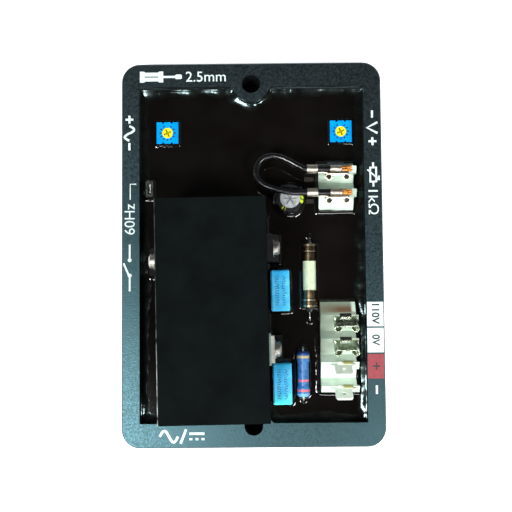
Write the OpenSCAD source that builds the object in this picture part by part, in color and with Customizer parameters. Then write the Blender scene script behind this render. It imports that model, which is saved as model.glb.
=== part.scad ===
// Potted automatic voltage regulator for a small generator.
// A moulded tray holds a circuit board under resin, with a channel heatsink,
// push-on terminals, a soldered fuse and two trimmers standing out of it.
// Millimetres. The origin is at the centre of the back face, with +Y towards
// the head end and +Z out of the tray.

/* [Case] */
// Width of the case, across X
case_w = 98.5; // [97.5:0.5:112]
// Length of the case, along Y
case_l = 145; // [144:0.5:160]
// Height of the rim above the back face
case_h = 17; // [16:0.5:19]
// Radius of the case's outer corners
case_corner_r = 7; // [3:0.5:10]
// Chamfer along the rim's outer edge
case_edge = 0.4; // [0.3:0.1:1.5]
// Width of the rim along the two long sides
side_rim = 6.7; // [5:0.1:7.2]
// Width of the rim at the two ends
end_rim = 9; // [8:0.1:9.5]
// Thickness of the tray's floor
floor_t = 2; // [1.5:0.1:3]
// Radius of the tray's inner corners
cavity_corner_r = 0.6; // [0.5:0.1:5]

/* [Fixing holes] */
// Distance of each fixing hole's centre past the tray's end wall
hole_setback = 1; // [0.5:0.1:3]
// Diameter of each fixing hole
hole_d = 7; // [5:0.5:8]
// Radius of the half-round boss round each hole
boss_r = 6.8; // [6:0.1:8]
// Radius of the fillet between boss and wall
boss_fillet = 2; // [1:0.5:3]

/* [Board and resin] */
// Thickness of the circuit board
board_t = 1.6; // [1:0.2:2.4]
// Gap between the board's edge and the tray's wall
board_gap = 0.5; // [0.3:0.1:1]
// Height of the posts that carry the board
post_h = 3; // [2.6:0.1:4]
// Diameter of those posts
post_d = 5; // [3:0.5:8]
// Inset of the corner posts from the tray's walls
post_inset = 5; // [4:0.5:8]
// Depth of the resin's surface below the rim
resin_drop = 5; // [4:0.1:6]
// Length of lead that stands out below the board
lead_stub = 1.6; // [1:0.1:2.2]
// Diameter of the round leads
lead_d = 0.8; // [0.5:0.1:1]
// Inner radius of a bend in a lead
lead_bend = 1; // [0.6:0.1:1.5]
// Least gap between the pieces that stand in a row across the tray
row_clear = 0.3; // [0.2:0.1:0.5]

/* [Heatsink] */
// Width over the two legs
sink_w = 39.6; // [37:0.2:40]
// Length of the top plate
sink_l = 79.4; // [76:0.2:80]
// Height of the top above the board
sink_h = 33.4; // [28:0.2:40]
// Thickness of the bent plate
sink_t = 3; // [2:0.1:4]
// Radius of its two long outer edges
sink_bend = 1; // [0.6:0.1:4]
// Distance that each leg stops short of the top plate's ends
leg_setback = 4; // [3.5:0.5:8]
// Gap between the heatsink and the tray's left wall
sink_inset_x = 8.6; // [8:0.1:9]
// Gap between the heatsink and the tray's foot wall
sink_inset_y = 2.5; // [2:0.1:3]
// Angle by which the heatsink stands askew
sink_turn = 0.8; // [0:0.1:1]

/* [Power devices] */
// Width of each power device
device_w = 10; // [9.5:0.1:10.2]
// Height of each device's body and tab together
device_h = 15.8; // [15:0.1:17]
// Thickness of the moulded device at its leads
device_t = 4.6; // [4:0.1:5]
// Thickness of the upper right device at its screw
device_screw_t = 2.3; // [2:0.1:3.2]
// Thickness of the left device at its screw
left_screw_t = 1.4; // [1.2:0.1:2.7]
// Gap between each device and the board
device_standoff = 3.8; // [3:0.1:5]
// Distance of the screw's hole from the device's top
device_hole_drop = 3.1; // [2.8:0.1:3.6]
// Place of the upper right device along the heatsink
upper_device_y = 22.5; // [21:0.1:24]
// Place of the lower right device along the heatsink
lower_device_y = -14.8; // [-15:0.1:-8]
// Place of the left device along the heatsink
left_device_y = 18.4; // [-20:0.1:25]
// Thickness of the metal tab
tab_t = 1.3; // [1:0.1:1.6]
// Height of the moulded part on the metal tab
tab_body_h = 9.2; // [8:0.1:9.6]
// Thickness of the moulded part on the metal tab
tab_body_t = 3.2; // [2.8:0.1:3.4]
// Thickness of the insulating pad
pad_t = 0.8; // [0.3:0.1:1]
// Width of the insulating pad
pad_w = 11.6; // [10.4:0.1:12]
// Height of the insulating pad
pad_h = 18; // [17:0.1:19]
// Pitch of the device's three leads
device_pitch = 2.54; // [2:0.02:3]
// Diameter of the device screws
screw_d = 3; // [2.5:0.1:3.2]
// Diameter of the screws' pan heads
screw_head_d = 5.6; // [5:0.1:6]
// Height of the screws' pan heads
screw_head_h = 2; // [1.8:0.1:2.6]
// Radial clearance of a screw in its threaded hole
screw_fit = 0.05; // [0.02:0.01:0.1]
// Radial clearance of a screw in what it clamps
screw_clear = 0.2; // [0.1:0.05:0.3]
// Outer diameter of the washers
washer_d = 7; // [6.4:0.1:7.6]
// Thickness of the washers
washer_t = 0.5; // [0.4:0.1:0.8]

/* [Trimmers] */
// Width of each trimmer's square housing
trim_w = 8.3; // [7.8:0.1:9]
// Height of the trimmers above the board
trim_h = 6.6; // [6.2:0.1:8]
// Inset of the left trimmer from the left wall
stab_inset = 10.3; // [6:0.1:12]
// Inset of the right trimmer from the right wall
volt_inset = 8.3; // [6:0.1:12]
// Inset of both trimmers from the head wall
trim_inset = 16.8; // [12:0.1:20]
// Diameter of the rotor's visible face
rotor_d = 4; // [3.4:0.1:4.4]
// Diameter of the rotor's hidden flange
rotor_flange_d = 5.6; // [5:0.1:6]
// Clearance round the rotor
rotor_fit = 0.08; // [0.05:0.01:0.1]
// Thickness of the housing's lip over the flange
rotor_lip = 1; // [0.8:0.1:1.4]
// Thickness of the base that carries the track
trim_base_t = 1.4; // [1:0.1:1.8]
// Wall of the housing round its base
trim_wall = 0.7; // [0.6:0.05:0.9]
// Width of the rotor's cross slot
rotor_slot = 0.7; // [0.5:0.05:0.9]

/* [Frequency link] */
// Pitch of the link's two pins
link_pitch = 2.54; // [2:0.02:3]
// Side of each square pin
link_pin = 0.64; // [0.5:0.02:0.8]
// Width of the push-on shunt, across X
shunt_w = 2.8; // [2.6:0.1:3.2]
// Length of the shunt, along Y
shunt_l = 6.2; // [6:0.1:7]
// Height of the shunt
shunt_h = 6.2; // [5.6:0.1:7]
// Height of the header's base
header_h = 2.5; // [2:0.1:3]
// Inset of the link from the left wall
link_inset = 3.6; // [3:0.1:5]
// Distance of the link from the head wall
link_from_head = 38.6; // [30:0.1:40]

/* [Capacitors] */
// Diameter of the electrolytic capacitor
can_d = 10; // [8:0.5:10.5]
// Height of the electrolytic capacitor
can_h = 14.6; // [10:0.1:14.7]
// Thickness of its plastic sleeve
sleeve_t = 0.25; // [0.15:0.05:0.4]
// Width of the sleeve's lip over the can's top
sleeve_lip = 1; // [0.6:0.1:1.4]
// Gap between it and the remote potentiometer's block
can_gap = 6.1; // [4.5:0.1:6.5]
// Distance of its axis past the heatsink's head end
can_past_sink = 1.7; // [0:0.1:4]
// Width of each film capacitor
film_w = 7; // [6:0.1:7.4]
// Length of each film capacitor
film_l = 15.3; // [14:0.1:15.6]
// Height of each film capacitor
film_h = 13.2; // [10:0.1:16]
// Radius of the film capacitors' edges
film_edge = 0.5; // [0.2:0.1:1]
// Gap between the film capacitors and the heatsink's leg
film_gap = 1.2; // [1:0.1:1.5]
// Place of the upper film capacitor along the heatsink
upper_film_y = 6.7; // [5:0.1:8]
// Place of the lower film capacitor along the heatsink
lower_film_y = -27.8; // [-30:0.1:-27.7]
// Pitch of a film capacitor's leads
film_pitch = 10; // [7.5:0.5:12]

/* [Fuse and resistor] */
// Outer diameter of the fuse's ceramic tube
fuse_d = 4.9; // [4.4:0.1:5]
// Length of the ceramic tube
fuse_tube_l = 23; // [22:0.1:24.4]
// Wall of the ceramic tube
fuse_wall = 0.8; // [0.5:0.1:1.2]
// Wall of the fuse's metal caps
fuse_cap_t = 0.25; // [0.2:0.05:0.35]
// Length of the inner caps
fuse_cap_l = 6.2; // [5.5:0.1:7]
// Length of the pigtail caps over them
pigtail_cap_l = 3; // [2:0.1:3.4]
// Length of the solder cone at each end
pigtail_cone = 1.8; // [1:0.1:2.5]
// Straight run of the foot pigtail before it turns down
foot_pigtail_run = 5.2; // [3:0.1:6]
// Straight run of the head pigtail before it turns down
head_pigtail_run = 3.2; // [3:0.1:6]
// Height of the fuse's axis above the board
fuse_rise = 6.4; // [5.5:0.1:7.5]
// Gap between the fuse's axis and the power block
fuse_gap = 3.8; // [3.4:0.1:4.5]
// Gap between the film capacitors and the fuse's axis
film_to_fuse = 7.7; // [6:0.1:9]
// Distance of the fuse's centre from the foot wall
fuse_from_foot = 54.9; // [52:0.1:57]
// Diameter of the axial resistor
resistor_d = 4.2; // [3.6:0.1:4.6]
// Diameter of the resistor's swollen ends
resistor_end_d = 4.8; // [4.6:0.1:5]
// Length of the resistor's body
resistor_l = 17; // [15:0.1:18]
// Height of the resistor's axis above the board
resistor_rise = 7.2; // [6.4:0.1:8]
// Gap between the resistor's axis and the power block
resistor_gap = 6.6; // [6:0.1:7]
// Distance of the resistor's centre from the foot wall
resistor_from_foot = 17.9; // [15:0.1:20]

/* [Terminal blocks] */
// Width of the terminal blocks, across X
block_w = 13.2; // [12:0.1:13.6]
// Height of the blocks' ridges above the board
block_h = 10.9; // [10:0.1:13]
// Pitch of the terminals
pitch = 8.8; // [8.4:0.1:9]
// Angle of the sawtooth faces, and so of the terminals
block_slope = 32; // [25:1:35]
// Width of each tooth's short side, along Y
block_riser = 2.8; // [2.4:0.1:3.2]
// Gap between the blocks and the tray's right wall
block_inset = 4; // [3:0.1:4.5]
// Width of the ears on the blocks' right side
ear_w = 1; // [0.6:0.1:1.6]
// Length of each ear, along Y from its ridge
ear_l = 2.7; // [2:0.1:3.2]
// Gap between the power block and the foot wall
power_from_foot = 11.2; // [9:0.1:12]
// Length of the power block below its first ridge
power_foot_margin = 2.4; // [1.6:0.1:3]
// Length of the power block above its last ridge
power_head_margin = 4.9; // [3:0.1:5]
// Distance of the two-way block from the head wall
pot_from_head = 29.4; // [28:0.1:31]
// Length of the two-way block above its last ridge
pot_head_margin = 1.4; // [1.2:0.1:2]
// Length of the two-way block below its first ridge
pot_foot_margin = 7.8; // [6:0.1:8]
// Offset of the power terminals from the block's centre
power_tab_offset = 1.5; // [0:0.1:2]
// Offset of the supply sockets to the right of the blades
socket_offset = 1.2; // [0:0.1:1.4]

/* [Terminals] */
// Width of a blade
blade_w = 6.35; // [6:0.05:6.4]
// Thickness of a blade
blade_t = 0.8; // [0.6:0.05:0.9]
// Length of a blade above its block
blade_l = 6.8; // [6:0.1:7.5]
// Width of a blade's shoulder on the block
shoulder_w = 9.3; // [7:0.1:9.6]
// Diameter of the hole in a blade
blade_hole_d = 1.6; // [1:0.1:2]
// Thickness of a receptacle's sheet metal
sheet_t = 0.4; // [0.3:0.05:0.5]
// Outer radius of a receptacle's rolled edges
curl_r = 1.4; // [1:0.05:1.5]
// Slack between a receptacle and its blade
receptacle_fit = 0.05; // [0.02:0.01:0.1]
// Diameter of the jumper wire over its insulation
wire_d = 2.5; // [2:0.1:2.6]
// Diameter of the jumper's bare strands
strand_d = 1.9; // [1.4:0.1:2]
// Length of the crimp on the insulation
insulation_crimp_l = 4; // [3:0.1:4.5]
// Length of the crimp on the strands
strand_crimp_l = 4.2; // [3:0.1:5]

/* [Hidden] */
$fn = 64;

// Small overlap that joins two shapes of one solid
weld = 0.05;
// How far a cut runs past the face that it opens
past = 1;

// The tray's inside and the levels in it
cavity_w = case_w - 2*side_rim;
cavity_l = case_l - 2*end_rim;
left_wall = -cavity_w/2;
right_wall = cavity_w/2;
head_wall = cavity_l/2;
foot_wall = -cavity_l/2;
hole_y = head_wall + hole_setback;
board_z = floor_t + post_h;
board_top = board_z + board_t;
lead_bottom = board_z - lead_stub;
resin_top = case_h - resin_drop;

// The fillet circles beside each boss, which bite a little into its round
fillet_y = head_wall - boss_fillet;
fillet_x = sqrt(pow(boss_r + boss_fillet - weld, 2) - pow(hole_y - fillet_y, 2));

// Across the tray stand the left device's screw, the heatsink, the film capacitors,
// the fuse and the blocks. Their gaps share out what the tray's width leaves over.
left_stack = left_screw_t + washer_t + screw_head_h;
fuse_cap_d = fuse_d + 2*fuse_cap_t;
pigtail_d = fuse_cap_d + 2*fuse_cap_t;
row_w = sink_inset_x + sink_w + film_gap + film_w + film_to_fuse + fuse_gap + block_w + block_inset;
left_slack = sink_inset_x - left_stack - row_clear;
film_slack = film_to_fuse - pigtail_d/2 - row_clear;
fuse_slack = fuse_gap - pigtail_d/2 - row_clear;
block_slack = block_inset - ear_w - row_clear;
row_share = (cavity_w - row_w)/(left_slack + film_slack + fuse_slack + block_slack);
sink_left = left_wall + sink_inset_x + row_share*left_slack;
film_right = sink_left + sink_w + film_gap + film_w;
fuse_x = film_right + film_to_fuse + row_share*film_slack;
block_left = fuse_x + fuse_gap + row_share*fuse_slack;

// The heatsink's centre
sink_inner_r = 0.5;
sink_x = sink_left + sink_w/2;
sink_y = foot_wall + sink_inset_y + sink_l/2;

// The power devices' levels and small shapes
device_toe = [0.3, 0.6];
device_step = 1.4;
washer_clear = 0.2;
device_lead = [0.5, 0.8];
tab_body_lip = [0.8, 1.2];
tab_notch_r = 1;
tab_lead_offset = 1.4;
tab_lead_x = pad_t + tab_t + tab_lead_offset;
pad_over = 1;
head_crown = [1.44, 0.6];
head_slot = [3, 0.7, 1];
head_turn = 20;
device_z = board_top + device_standoff;
device_top = device_z + device_h;
screw_z = device_top - device_hole_drop;
clamp_d = screw_d + 2*screw_clear;

// The trimmers' places and levels
trim_y = head_wall - trim_inset;
stab_place = [left_wall + stab_inset, trim_y];
volt_place = [right_wall - volt_inset, trim_y];
trim_top = board_top + trim_h;
track_z = board_top + trim_base_t;
chamber_top = trim_top - rotor_lip;
wiper_t = 0.3;
wiper_gap = 0.1;
wiper_hub_d = 2.4;
wiper_arm_w = 0.7;
wiper_arm_turn = 35;
wiper_inset = 0.4;
rotor_sink = 0.2;
rotor_turn = 25;
rotor_slot_margin = 0.9;
rotor_slot_l = rotor_d - rotor_slot_margin;
rotor_slot_t = 0.8;
trim_base_w = trim_w - 2*trim_wall;
trim_notch = [0.7, 0.5];
trim_notch_x = 1.66;
trim_pin_offset = 2.5;
rotor_z = track_z + wiper_gap + wiper_t;

// The link's place and levels
link_place = [left_wall + link_inset, head_wall - link_from_head];
header_top = board_top + header_h;
shunt_gap = 0.1;
shunt_z = header_top + shunt_gap;
contact_w = 1.3;
contact_h = 4.6;
contact_fit = 0.05;
contact_bridge_w = 0.5;
contact_room = 0.6;
link_pin_tip = 0.4;
link_pin_top = shunt_z + contact_h + link_pin_tip;
shunt_slot_w = 0.9;
shunt_slot_over = 1;
shunt_slot = [shunt_slot_w, link_pitch + shunt_slot_over];

// The terminal blocks' places
block_mid = block_left + block_w/2;
ridge_z = board_top + block_h;
tooth_drop = (pitch - block_riser)*tan(block_slope);
power_ridges = [for (i = [0:3]) foot_wall + power_from_foot + power_foot_margin + i*pitch];
power_foot = power_ridges[0] - power_foot_margin;
power_head = power_ridges[3] + power_head_margin;
pot_head = head_wall - pot_from_head;
pot_ridges = [for (i = [0:1]) pot_head - pot_head_margin - (1 - i)*pitch];
pot_foot = pot_ridges[0] - pot_foot_margin;
power_tab_x = block_mid + power_tab_offset;

// Where a terminal leaves the sloping face, measured from its ridge
root_back = 0.7;
root_drop = root_back*tan(block_slope);
stem_depth = 4.2;
tip_chamfer = 1.2;
leg_w = 1.4;
leg_spread = 2.4;
shoulder_foot = 0.3;
shoulder_side = 0.9;
shoulder_top = 1.8;
blade_hole_u = 3.74;
socket_from = 1.2;
socket_floor = -0.1;
socket_root = 0.5;
socket_window = [4.6, 1.7];
root_bend_r = 0.8;
root_bend_w = 5.6;
root_bend_x = 0.8;

// The crimps of the jumper, in the frame of a blade
crimp_wall = 0.4;
crimp_u = 5.6;
strand_crimp_r = strand_d/2 + crimp_wall;
insulation_crimp_r = wire_d/2 + crimp_wall;
crimp_sink = 0.1;
crimp_n = blade_t/2 + sheet_t + strand_crimp_r - crimp_sink;
tongue_w = 2.6;
tongue_back = 0.9;
receptacle_from = 1.8;
receptacle_over = 0.3;
crimp_seam = 0.3;
jumper_lead_out = 0.4;
insulation_crimp_x = -11.4;
strand_crimp_x = -2.7;
wire_end_x = -2.8;
strand_end_x = 5.4;

// The jumper's ends and its route between them, chosen by hand
jumper_y = [for (r = pot_ridges)
    r - root_back - crimp_u*sin(block_slope) + crimp_n*cos(block_slope)];
jumper_z = ridge_z - root_drop + crimp_u*cos(block_slope) + crimp_n*sin(block_slope);
jumper_route = [
    [17.4, 31.9, 22.9], [13.6, 34, 22.8], [9.8, 35.5, 22.6], [6.2, 35.6, 22.4],
    [3.4, 34, 22.2], [1.8, 31.2, 22.1], [2, 28, 22.2], [4, 25.4, 22.4],
    [7.4, 23.7, 22.7], [11.4, 22.7, 22.9], [15.6, 22.1, 22.9], [18.4, 22, 22.9]
];
jumper_exit_x = block_mid + insulation_crimp_x - jumper_lead_out;
jumper_points = concat(
    [[block_mid + wire_end_x, jumper_y[1], jumper_z], [jumper_exit_x, jumper_y[1], jumper_z]],
    jumper_route,
    [[jumper_exit_x, jumper_y[0], jumper_z], [block_mid + wire_end_x, jumper_y[0], jumper_z]]
);
wire_sides = 8;

// The capacitor, fuse and resistor places
body_standoff = 0.2;
can_place = [block_left - can_gap - can_d/2, sink_y + sink_l/2 + can_past_sink];
can_z = board_top + body_standoff;
seal_h = 1.6;
can_pitch = 5;
vent_w = 0.4;
vent_t = 0.25;
fuse_place = [fuse_x, foot_wall + fuse_from_foot, board_top + fuse_rise];
fuse_element_d = 0.3;
fuse_cap_end = fuse_tube_l/2 + fuse_cap_t;
pigtail_end = fuse_cap_end + fuse_cap_t;
pigtail_shoulder = 0.8;
resistor_end_l = 3.4;
resistor_taper = [0.7, 0.8];
resistor_neck = 0.6;
resistor_run = 1.6;
resistor_side = resistor_end_d/2 + row_clear;
resistor_share = (film_to_fuse + fuse_gap - resistor_gap - resistor_side)
    /(film_to_fuse + fuse_gap - 2*resistor_side);
resistor_x = film_right + resistor_side + resistor_share*(block_left - film_right - 2*resistor_side);
resistor_place = [resistor_x, foot_wall + resistor_from_foot, board_top + resistor_rise];
film_x = sink_w/2 + film_gap + film_w/2;
film_z = board_top + body_standoff;
film_corner_r = film_edge + 0.1;

// The small parts under the resin
chip_l = 19;
chip_w = 6.4;
chip_h = 3.3;
chip_pitch = 2.54;
chip_row = 7.62;
chip_standoff = 0.5;
chip_from_head = 19;
chip_mark = [1.6, 0.6];
chip_shoulder_w = 1.4;
chip_pin_w = 0.5;
chip_pin_t = 0.3;
chip_shoulder_rise = 1.4;
chip_pin_over = 0.15;
small_d = 2.4;
small_l = 6.4;
small_end_l = 1.6;
small_waist = 0.4;
small_lead_d = 0.6;
small_rise = 1.7;
small_run = 2;
small_pitch = 5.08;
diode_d = 2.6;
diode_l = 5;
resistors_from_head = 31;
resistors_from_left = 34.5;
resistors_x = left_wall + resistors_from_left;
diodes_from_head = 35;
diodes_from_left = 18.5;
diodes_x = left_wall + diodes_from_left;

// Plain shapes

module rounded_rect(w, l, r) {
    square([w, l - 2*r], center = true);
    square([w - 2*r, l], center = true);
    for (sx = [-1, 1], sy = [-1, 1])
        translate([sx*(w/2 - r), sy*(l/2 - r)]) circle(r);
}

module chamfered_slab(w, l, r, h, c) {
    flat_h = h - c;
    linear_extrude(flat_h) rounded_rect(w, l, r);
    translate([0, 0, flat_h]) {
        rotate([90, 0, 0]) linear_extrude(l - 2*r, center = true)
            polygon([[-w/2, 0], [w/2, 0], [w/2 - c, c], [c - w/2, c]]);
        rotate([90, 0, 90]) linear_extrude(w - 2*r, center = true)
            polygon([[-l/2, 0], [l/2, 0], [l/2 - c, c], [c - l/2, c]]);
        for (sx = [-1, 1], sy = [-1, 1])
            translate([sx*(w/2 - r), sy*(l/2 - r), 0]) cylinder(r1 = r, r2 = r - c, h = c);
    }
}

module box_from(x, y, z) {
    translate([x[0], y[0], z[0]]) cube([x[1] - x[0], y[1] - y[0], z[1] - z[0]]);
}

// A rod that runs along +Y from the origin, then turns down through the board
module bent_lead(d, run, rise) {
    r = lead_bend + d/2;
    rotate([-90, 0, 0]) cylinder(d = d, h = run - r);
    translate([0, run - r, -r]) rotate([0, -90, 0]) rotate_extrude(angle = 90)
        translate([r, 0]) circle(d = d);
    translate([0, run, -rise]) cylinder(d = d, h = rise - r);
}

// Both leads of an axial part whose body is l long, with its axis at the origin
module axial_leads(d, l, run, rise) {
    for (turn = [0, 180]) rotate(turn) translate([0, l/2, 0]) bent_lead(d, run, rise);
}

// Case

module boss_outline() {
    circle(boss_r);
    for (side = [-1, 1]) difference() {
        polygon([[0, 0], [side*fillet_x, head_wall - hole_y], [side*fillet_x, fillet_y - hole_y]]);
        translate([side*fillet_x, fillet_y - hole_y]) circle(boss_fillet);
    }
}

module cavity_outline() {
    difference() {
        rounded_rect(cavity_w, cavity_l, cavity_corner_r);
        for (end = [0, 1]) mirror([0, end, 0]) translate([0, hole_y]) boss_outline();
    }
}

module board_posts() {
    x = cavity_w/2 - post_inset;
    y = cavity_l/2 - post_inset;
    for (p = [[x, y], [-x, y], [x, -y], [-x, -y], [sink_x, sink_y]])
        translate([p[0], p[1], floor_t]) cylinder(d = post_d, h = post_h);
}

module case() color("#2b2f30") {
    difference() {
        chamfered_slab(case_w, case_l, case_corner_r, case_h, case_edge);
        translate([0, 0, floor_t]) linear_extrude(case_h) cavity_outline();
        for (end = [-1, 1]) translate([0, end*hole_y, -past]) cylinder(d = hole_d, h = case_h + 2*past);
    }
    board_posts();
}

// Board and resin

module board_blank() {
    notch_w = 2*(fillet_x + board_gap);
    translate([0, 0, board_z]) linear_extrude(board_t) difference() {
        rounded_rect(cavity_w - 2*board_gap, cavity_l - 2*board_gap, cavity_corner_r);
        for (end = [0, 1]) mirror([0, end, 0])
            translate([-notch_w/2, hole_y - boss_r - board_gap]) square([notch_w, boss_r + end_rim]);
    }
}

module all_leads() {
    upper_thyristor_leads();
    lower_thyristor_frame();
    freewheel_diode_leads();
    stab_trimmer_pins();
    volt_trimmer_pins();
    link_pins();
    reservoir_leads();
    film_capacitor_leads();
    fuse_pigtails();
    power_resistor_leads();
    pot_tabs();
    excitation_tabs();
    supply_sockets();
    control_chip_pins();
    board_resistor_leads();
    board_diode_leads();
}

module circuit_board() color("#2e5a35") difference() {
    board_blank();
    all_leads();
}

module potting_resin() color("#17130f") difference() {
    translate([0, 0, floor_t]) linear_extrude(resin_top - floor_t) cavity_outline();
    board_posts();
    board_blank();
    all_leads();
    heatsink();
    upper_thyristor();
    lower_thyristor();
    insulating_pad();
    freewheel_diode();
    for (place = [stab_place, volt_place]) trimmer_envelope(place);
    link_envelope();
    translate([can_place[0], can_place[1], can_z]) cylinder(d = can_d, h = can_h);
    upper_film_capacitor();
    lower_film_capacitor();
    fuse_envelope();
    power_resistor();
    block_body(pot_ridges, pot_foot, pot_head);
    block_body(power_ridges, power_foot, power_head);
    control_chip();
    board_resistors();
    board_diodes();
}

// Heatsink and its power devices

module in_sink_frame() {
    translate([sink_x, sink_y, 0]) rotate(sink_turn) children();
}

// The outer face of a leg, with +X pointing away from it
module on_leg(side, along) {
    in_sink_frame() rotate(side > 0 ? 0 : 180) translate([sink_w/2, side*along, 0]) children();
}

module screw_holes(d, from, to) {
    for (place = [[1, upper_device_y], [1, lower_device_y], [-1, left_device_y]])
        on_leg(place[0], place[1]) translate([from, 0, screw_z]) rotate([0, 90, 0])
            cylinder(d = d, h = to - from);
}

module heatsink_section() {
    inner_r = max(sink_bend - sink_t, sink_inner_r);
    inner_w = sink_w/2 - sink_t;
    inner_top = sink_h - sink_t;
    difference() {
        union() {
            translate([-sink_w/2, 0]) square([sink_w, sink_h - sink_bend]);
            translate([sink_bend - sink_w/2, 0]) square([sink_w - 2*sink_bend, sink_h]);
            for (side = [-1, 1])
                translate([side*(sink_w/2 - sink_bend), sink_h - sink_bend]) circle(sink_bend);
        }
        translate([-inner_w, -past]) square([2*inner_w, inner_top - inner_r + past]);
        translate([inner_r - inner_w, -past]) square([2*(inner_w - inner_r), inner_top + past]);
        for (side = [-1, 1])
            translate([side*(inner_w - inner_r), inner_top - inner_r]) circle(inner_r);
    }
}

module heatsink() color("#15191a") difference() {
    in_sink_frame() translate([0, 0, board_top]) difference() {
        rotate([90, 0, 0]) linear_extrude(sink_l, center = true) heatsink_section();
        for (end = [-1, 1])
            translate([-sink_w, end*(sink_l/2 - leg_setback/2) - leg_setback/2, -past])
                cube([2*sink_w, leg_setback, sink_h - max(sink_t, sink_bend) + past]);
    }
    screw_holes(screw_d + 2*screw_fit, -sink_t - past, past);
}

// A fully moulded device, with its back on the leg
module moulded_device(side, along, screw_t) {
    step_z = device_h - device_hole_drop - washer_d/2 - washer_clear;
    on_leg(side, along) translate([0, 0, device_z]) difference() {
        rotate([90, 0, 0]) linear_extrude(device_w, center = true)
            polygon([[0, 0], [device_t - device_toe[0], 0], [device_t, device_toe[1]],
                     [device_t, step_z - device_step], [screw_t, step_z],
                     [screw_t, device_h], [0, device_h]]);
        translate([-past, 0, device_h - device_hole_drop]) rotate([0, 90, 0])
            cylinder(d = clamp_d, h = device_t + 2*past);
    }
}

// Three flat leads that go straight down through the board, with their centre at x
module device_leads(side, along, x) {
    on_leg(side, along) for (i = [-1, 0, 1])
        translate([x - device_lead[0]/2, i*device_pitch - device_lead[1]/2, lead_bottom])
            cube([device_lead[0], device_lead[1], device_z - lead_bottom]);
}

module upper_thyristor() color("#1b1c1d") moulded_device(1, upper_device_y, device_screw_t);

module upper_thyristor_leads() color("silver") device_leads(1, upper_device_y, device_t/2);

module freewheel_diode() color("#1b1c1d") moulded_device(-1, left_device_y, left_screw_t);

module freewheel_diode_leads() color("silver") device_leads(-1, left_device_y, device_t/2);

module lower_thyristor() color("#1b1c1d")
    on_leg(1, lower_device_y) translate([pad_t + tab_t, 0, device_z])
        rotate([90, 0, 0]) linear_extrude(device_w, center = true)
            polygon([[0, 0], [tab_body_t - device_toe[0], 0], [tab_body_t, device_toe[1]],
                     [tab_body_t, tab_body_h - tab_body_lip[1]],
                     [tab_body_t - tab_body_lip[0], tab_body_h], [0, tab_body_h]]);

module lower_thyristor_frame() color("#c9c8c2") {
    on_leg(1, lower_device_y) translate([pad_t, 0, device_z]) difference() {
        translate([0, -device_w/2, 0]) cube([tab_t, device_w, device_h]);
        translate([-past, 0, device_h - device_hole_drop]) rotate([0, 90, 0])
            cylinder(d = clamp_d, h = tab_t + 2*past);
        for (edge = [-1, 1]) translate([-past, edge*device_w/2, tab_body_h + tab_notch_r])
            rotate([0, 90, 0]) cylinder(r = tab_notch_r, h = tab_t + 2*past);
    }
    device_leads(1, lower_device_y, tab_lead_x);
}

module insulating_pad() color("#e4e4de")
    on_leg(1, lower_device_y) difference() {
        translate([0, -pad_w/2, device_top + pad_over - pad_h]) cube([pad_t, pad_w, pad_h]);
        translate([-past, 0, screw_z]) rotate([0, 90, 0]) cylinder(d = clamp_d, h = pad_t + 2*past);
    }

// What each screw clamps, from the leg to the washer
clamp_stacks = [
    [1, upper_device_y, device_screw_t],
    [1, lower_device_y, pad_t + tab_t],
    [-1, left_device_y, left_screw_t]
];

module pan_screw(stack) {
    seat = stack + washer_t;
    side_h = screw_head_h - head_crown[1];
    rotate([0, 90, 0]) difference() {
        union() {
            translate([0, 0, -sink_t]) cylinder(d = screw_d, h = sink_t + seat + weld);
            translate([0, 0, seat]) {
                cylinder(d = screw_head_d, h = side_h);
                translate([0, 0, side_h])
                    cylinder(d1 = screw_head_d, d2 = screw_head_d - head_crown[0], h = head_crown[1]);
            }
        }
        for (turn = [0, 90]) rotate(head_turn + turn)
            translate([-head_slot[0]/2, -head_slot[1]/2, seat + screw_head_h - head_slot[2]])
                cube([head_slot[0], head_slot[1], head_slot[2] + past]);
    }
}

module device_screws() color("#d5d6d2")
    for (s = clamp_stacks) on_leg(s[0], s[1]) translate([0, 0, screw_z]) pan_screw(s[2]);

module device_washers() color("#b9bab6")
    for (s = clamp_stacks) on_leg(s[0], s[1]) translate([s[2], 0, screw_z]) rotate([0, 90, 0])
        difference() {
            cylinder(d = washer_d, h = washer_t);
            translate([0, 0, -past]) cylinder(d = screw_d + 2*screw_fit, h = washer_t + 2*past);
        }

// Trimmers

module trimmer_envelope(place) {
    translate([place[0], place[1], board_top]) translate([-trim_w/2, -trim_w/2, 0])
        cube([trim_w, trim_w, trim_h]);
}

module trimmer_housing(place) color("#1288e6") difference() {
    notch_h = trim_top - resin_top;
    notch_y = trim_w/2 - trim_notch[1]/2;
    trimmer_envelope(place);
    translate([place[0], place[1], 0]) {
        translate([-trim_base_w/2, -trim_base_w/2, board_top - past])
            cube([trim_base_w, trim_base_w, trim_base_t + past]);
        translate([0, 0, board_top])
            cylinder(d = rotor_flange_d + 2*rotor_fit, h = chamber_top - board_top);
        translate([0, 0, board_top]) cylinder(d = rotor_d + 2*rotor_fit, h = trim_h + past);
        for (sx = [-1, 1], sy = [-1, 1])
            translate([sx*trim_notch_x, sy*notch_y, trim_top - notch_h])
                translate([-trim_notch[0]/2, -trim_notch[1]/2, 0])
                    cube([trim_notch[0], trim_notch[1], notch_h + past]);
    }
}

module trimmer_rotor(place) color("#f4e01e")
    translate([place[0], place[1], rotor_z]) difference() {
        flange_h = chamber_top - rotor_fit - rotor_z;
        face_h = trim_top - rotor_sink - rotor_z;
        union() {
            cylinder(d = rotor_flange_d, h = flange_h);
            cylinder(d = rotor_d, h = face_h);
        }
        for (turn = [0, 90]) rotate(rotor_turn + turn)
            translate([-rotor_slot_l/2, -rotor_slot/2, face_h - rotor_slot_t])
                cube([rotor_slot_l, rotor_slot, rotor_slot_t + past]);
    }

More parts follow.
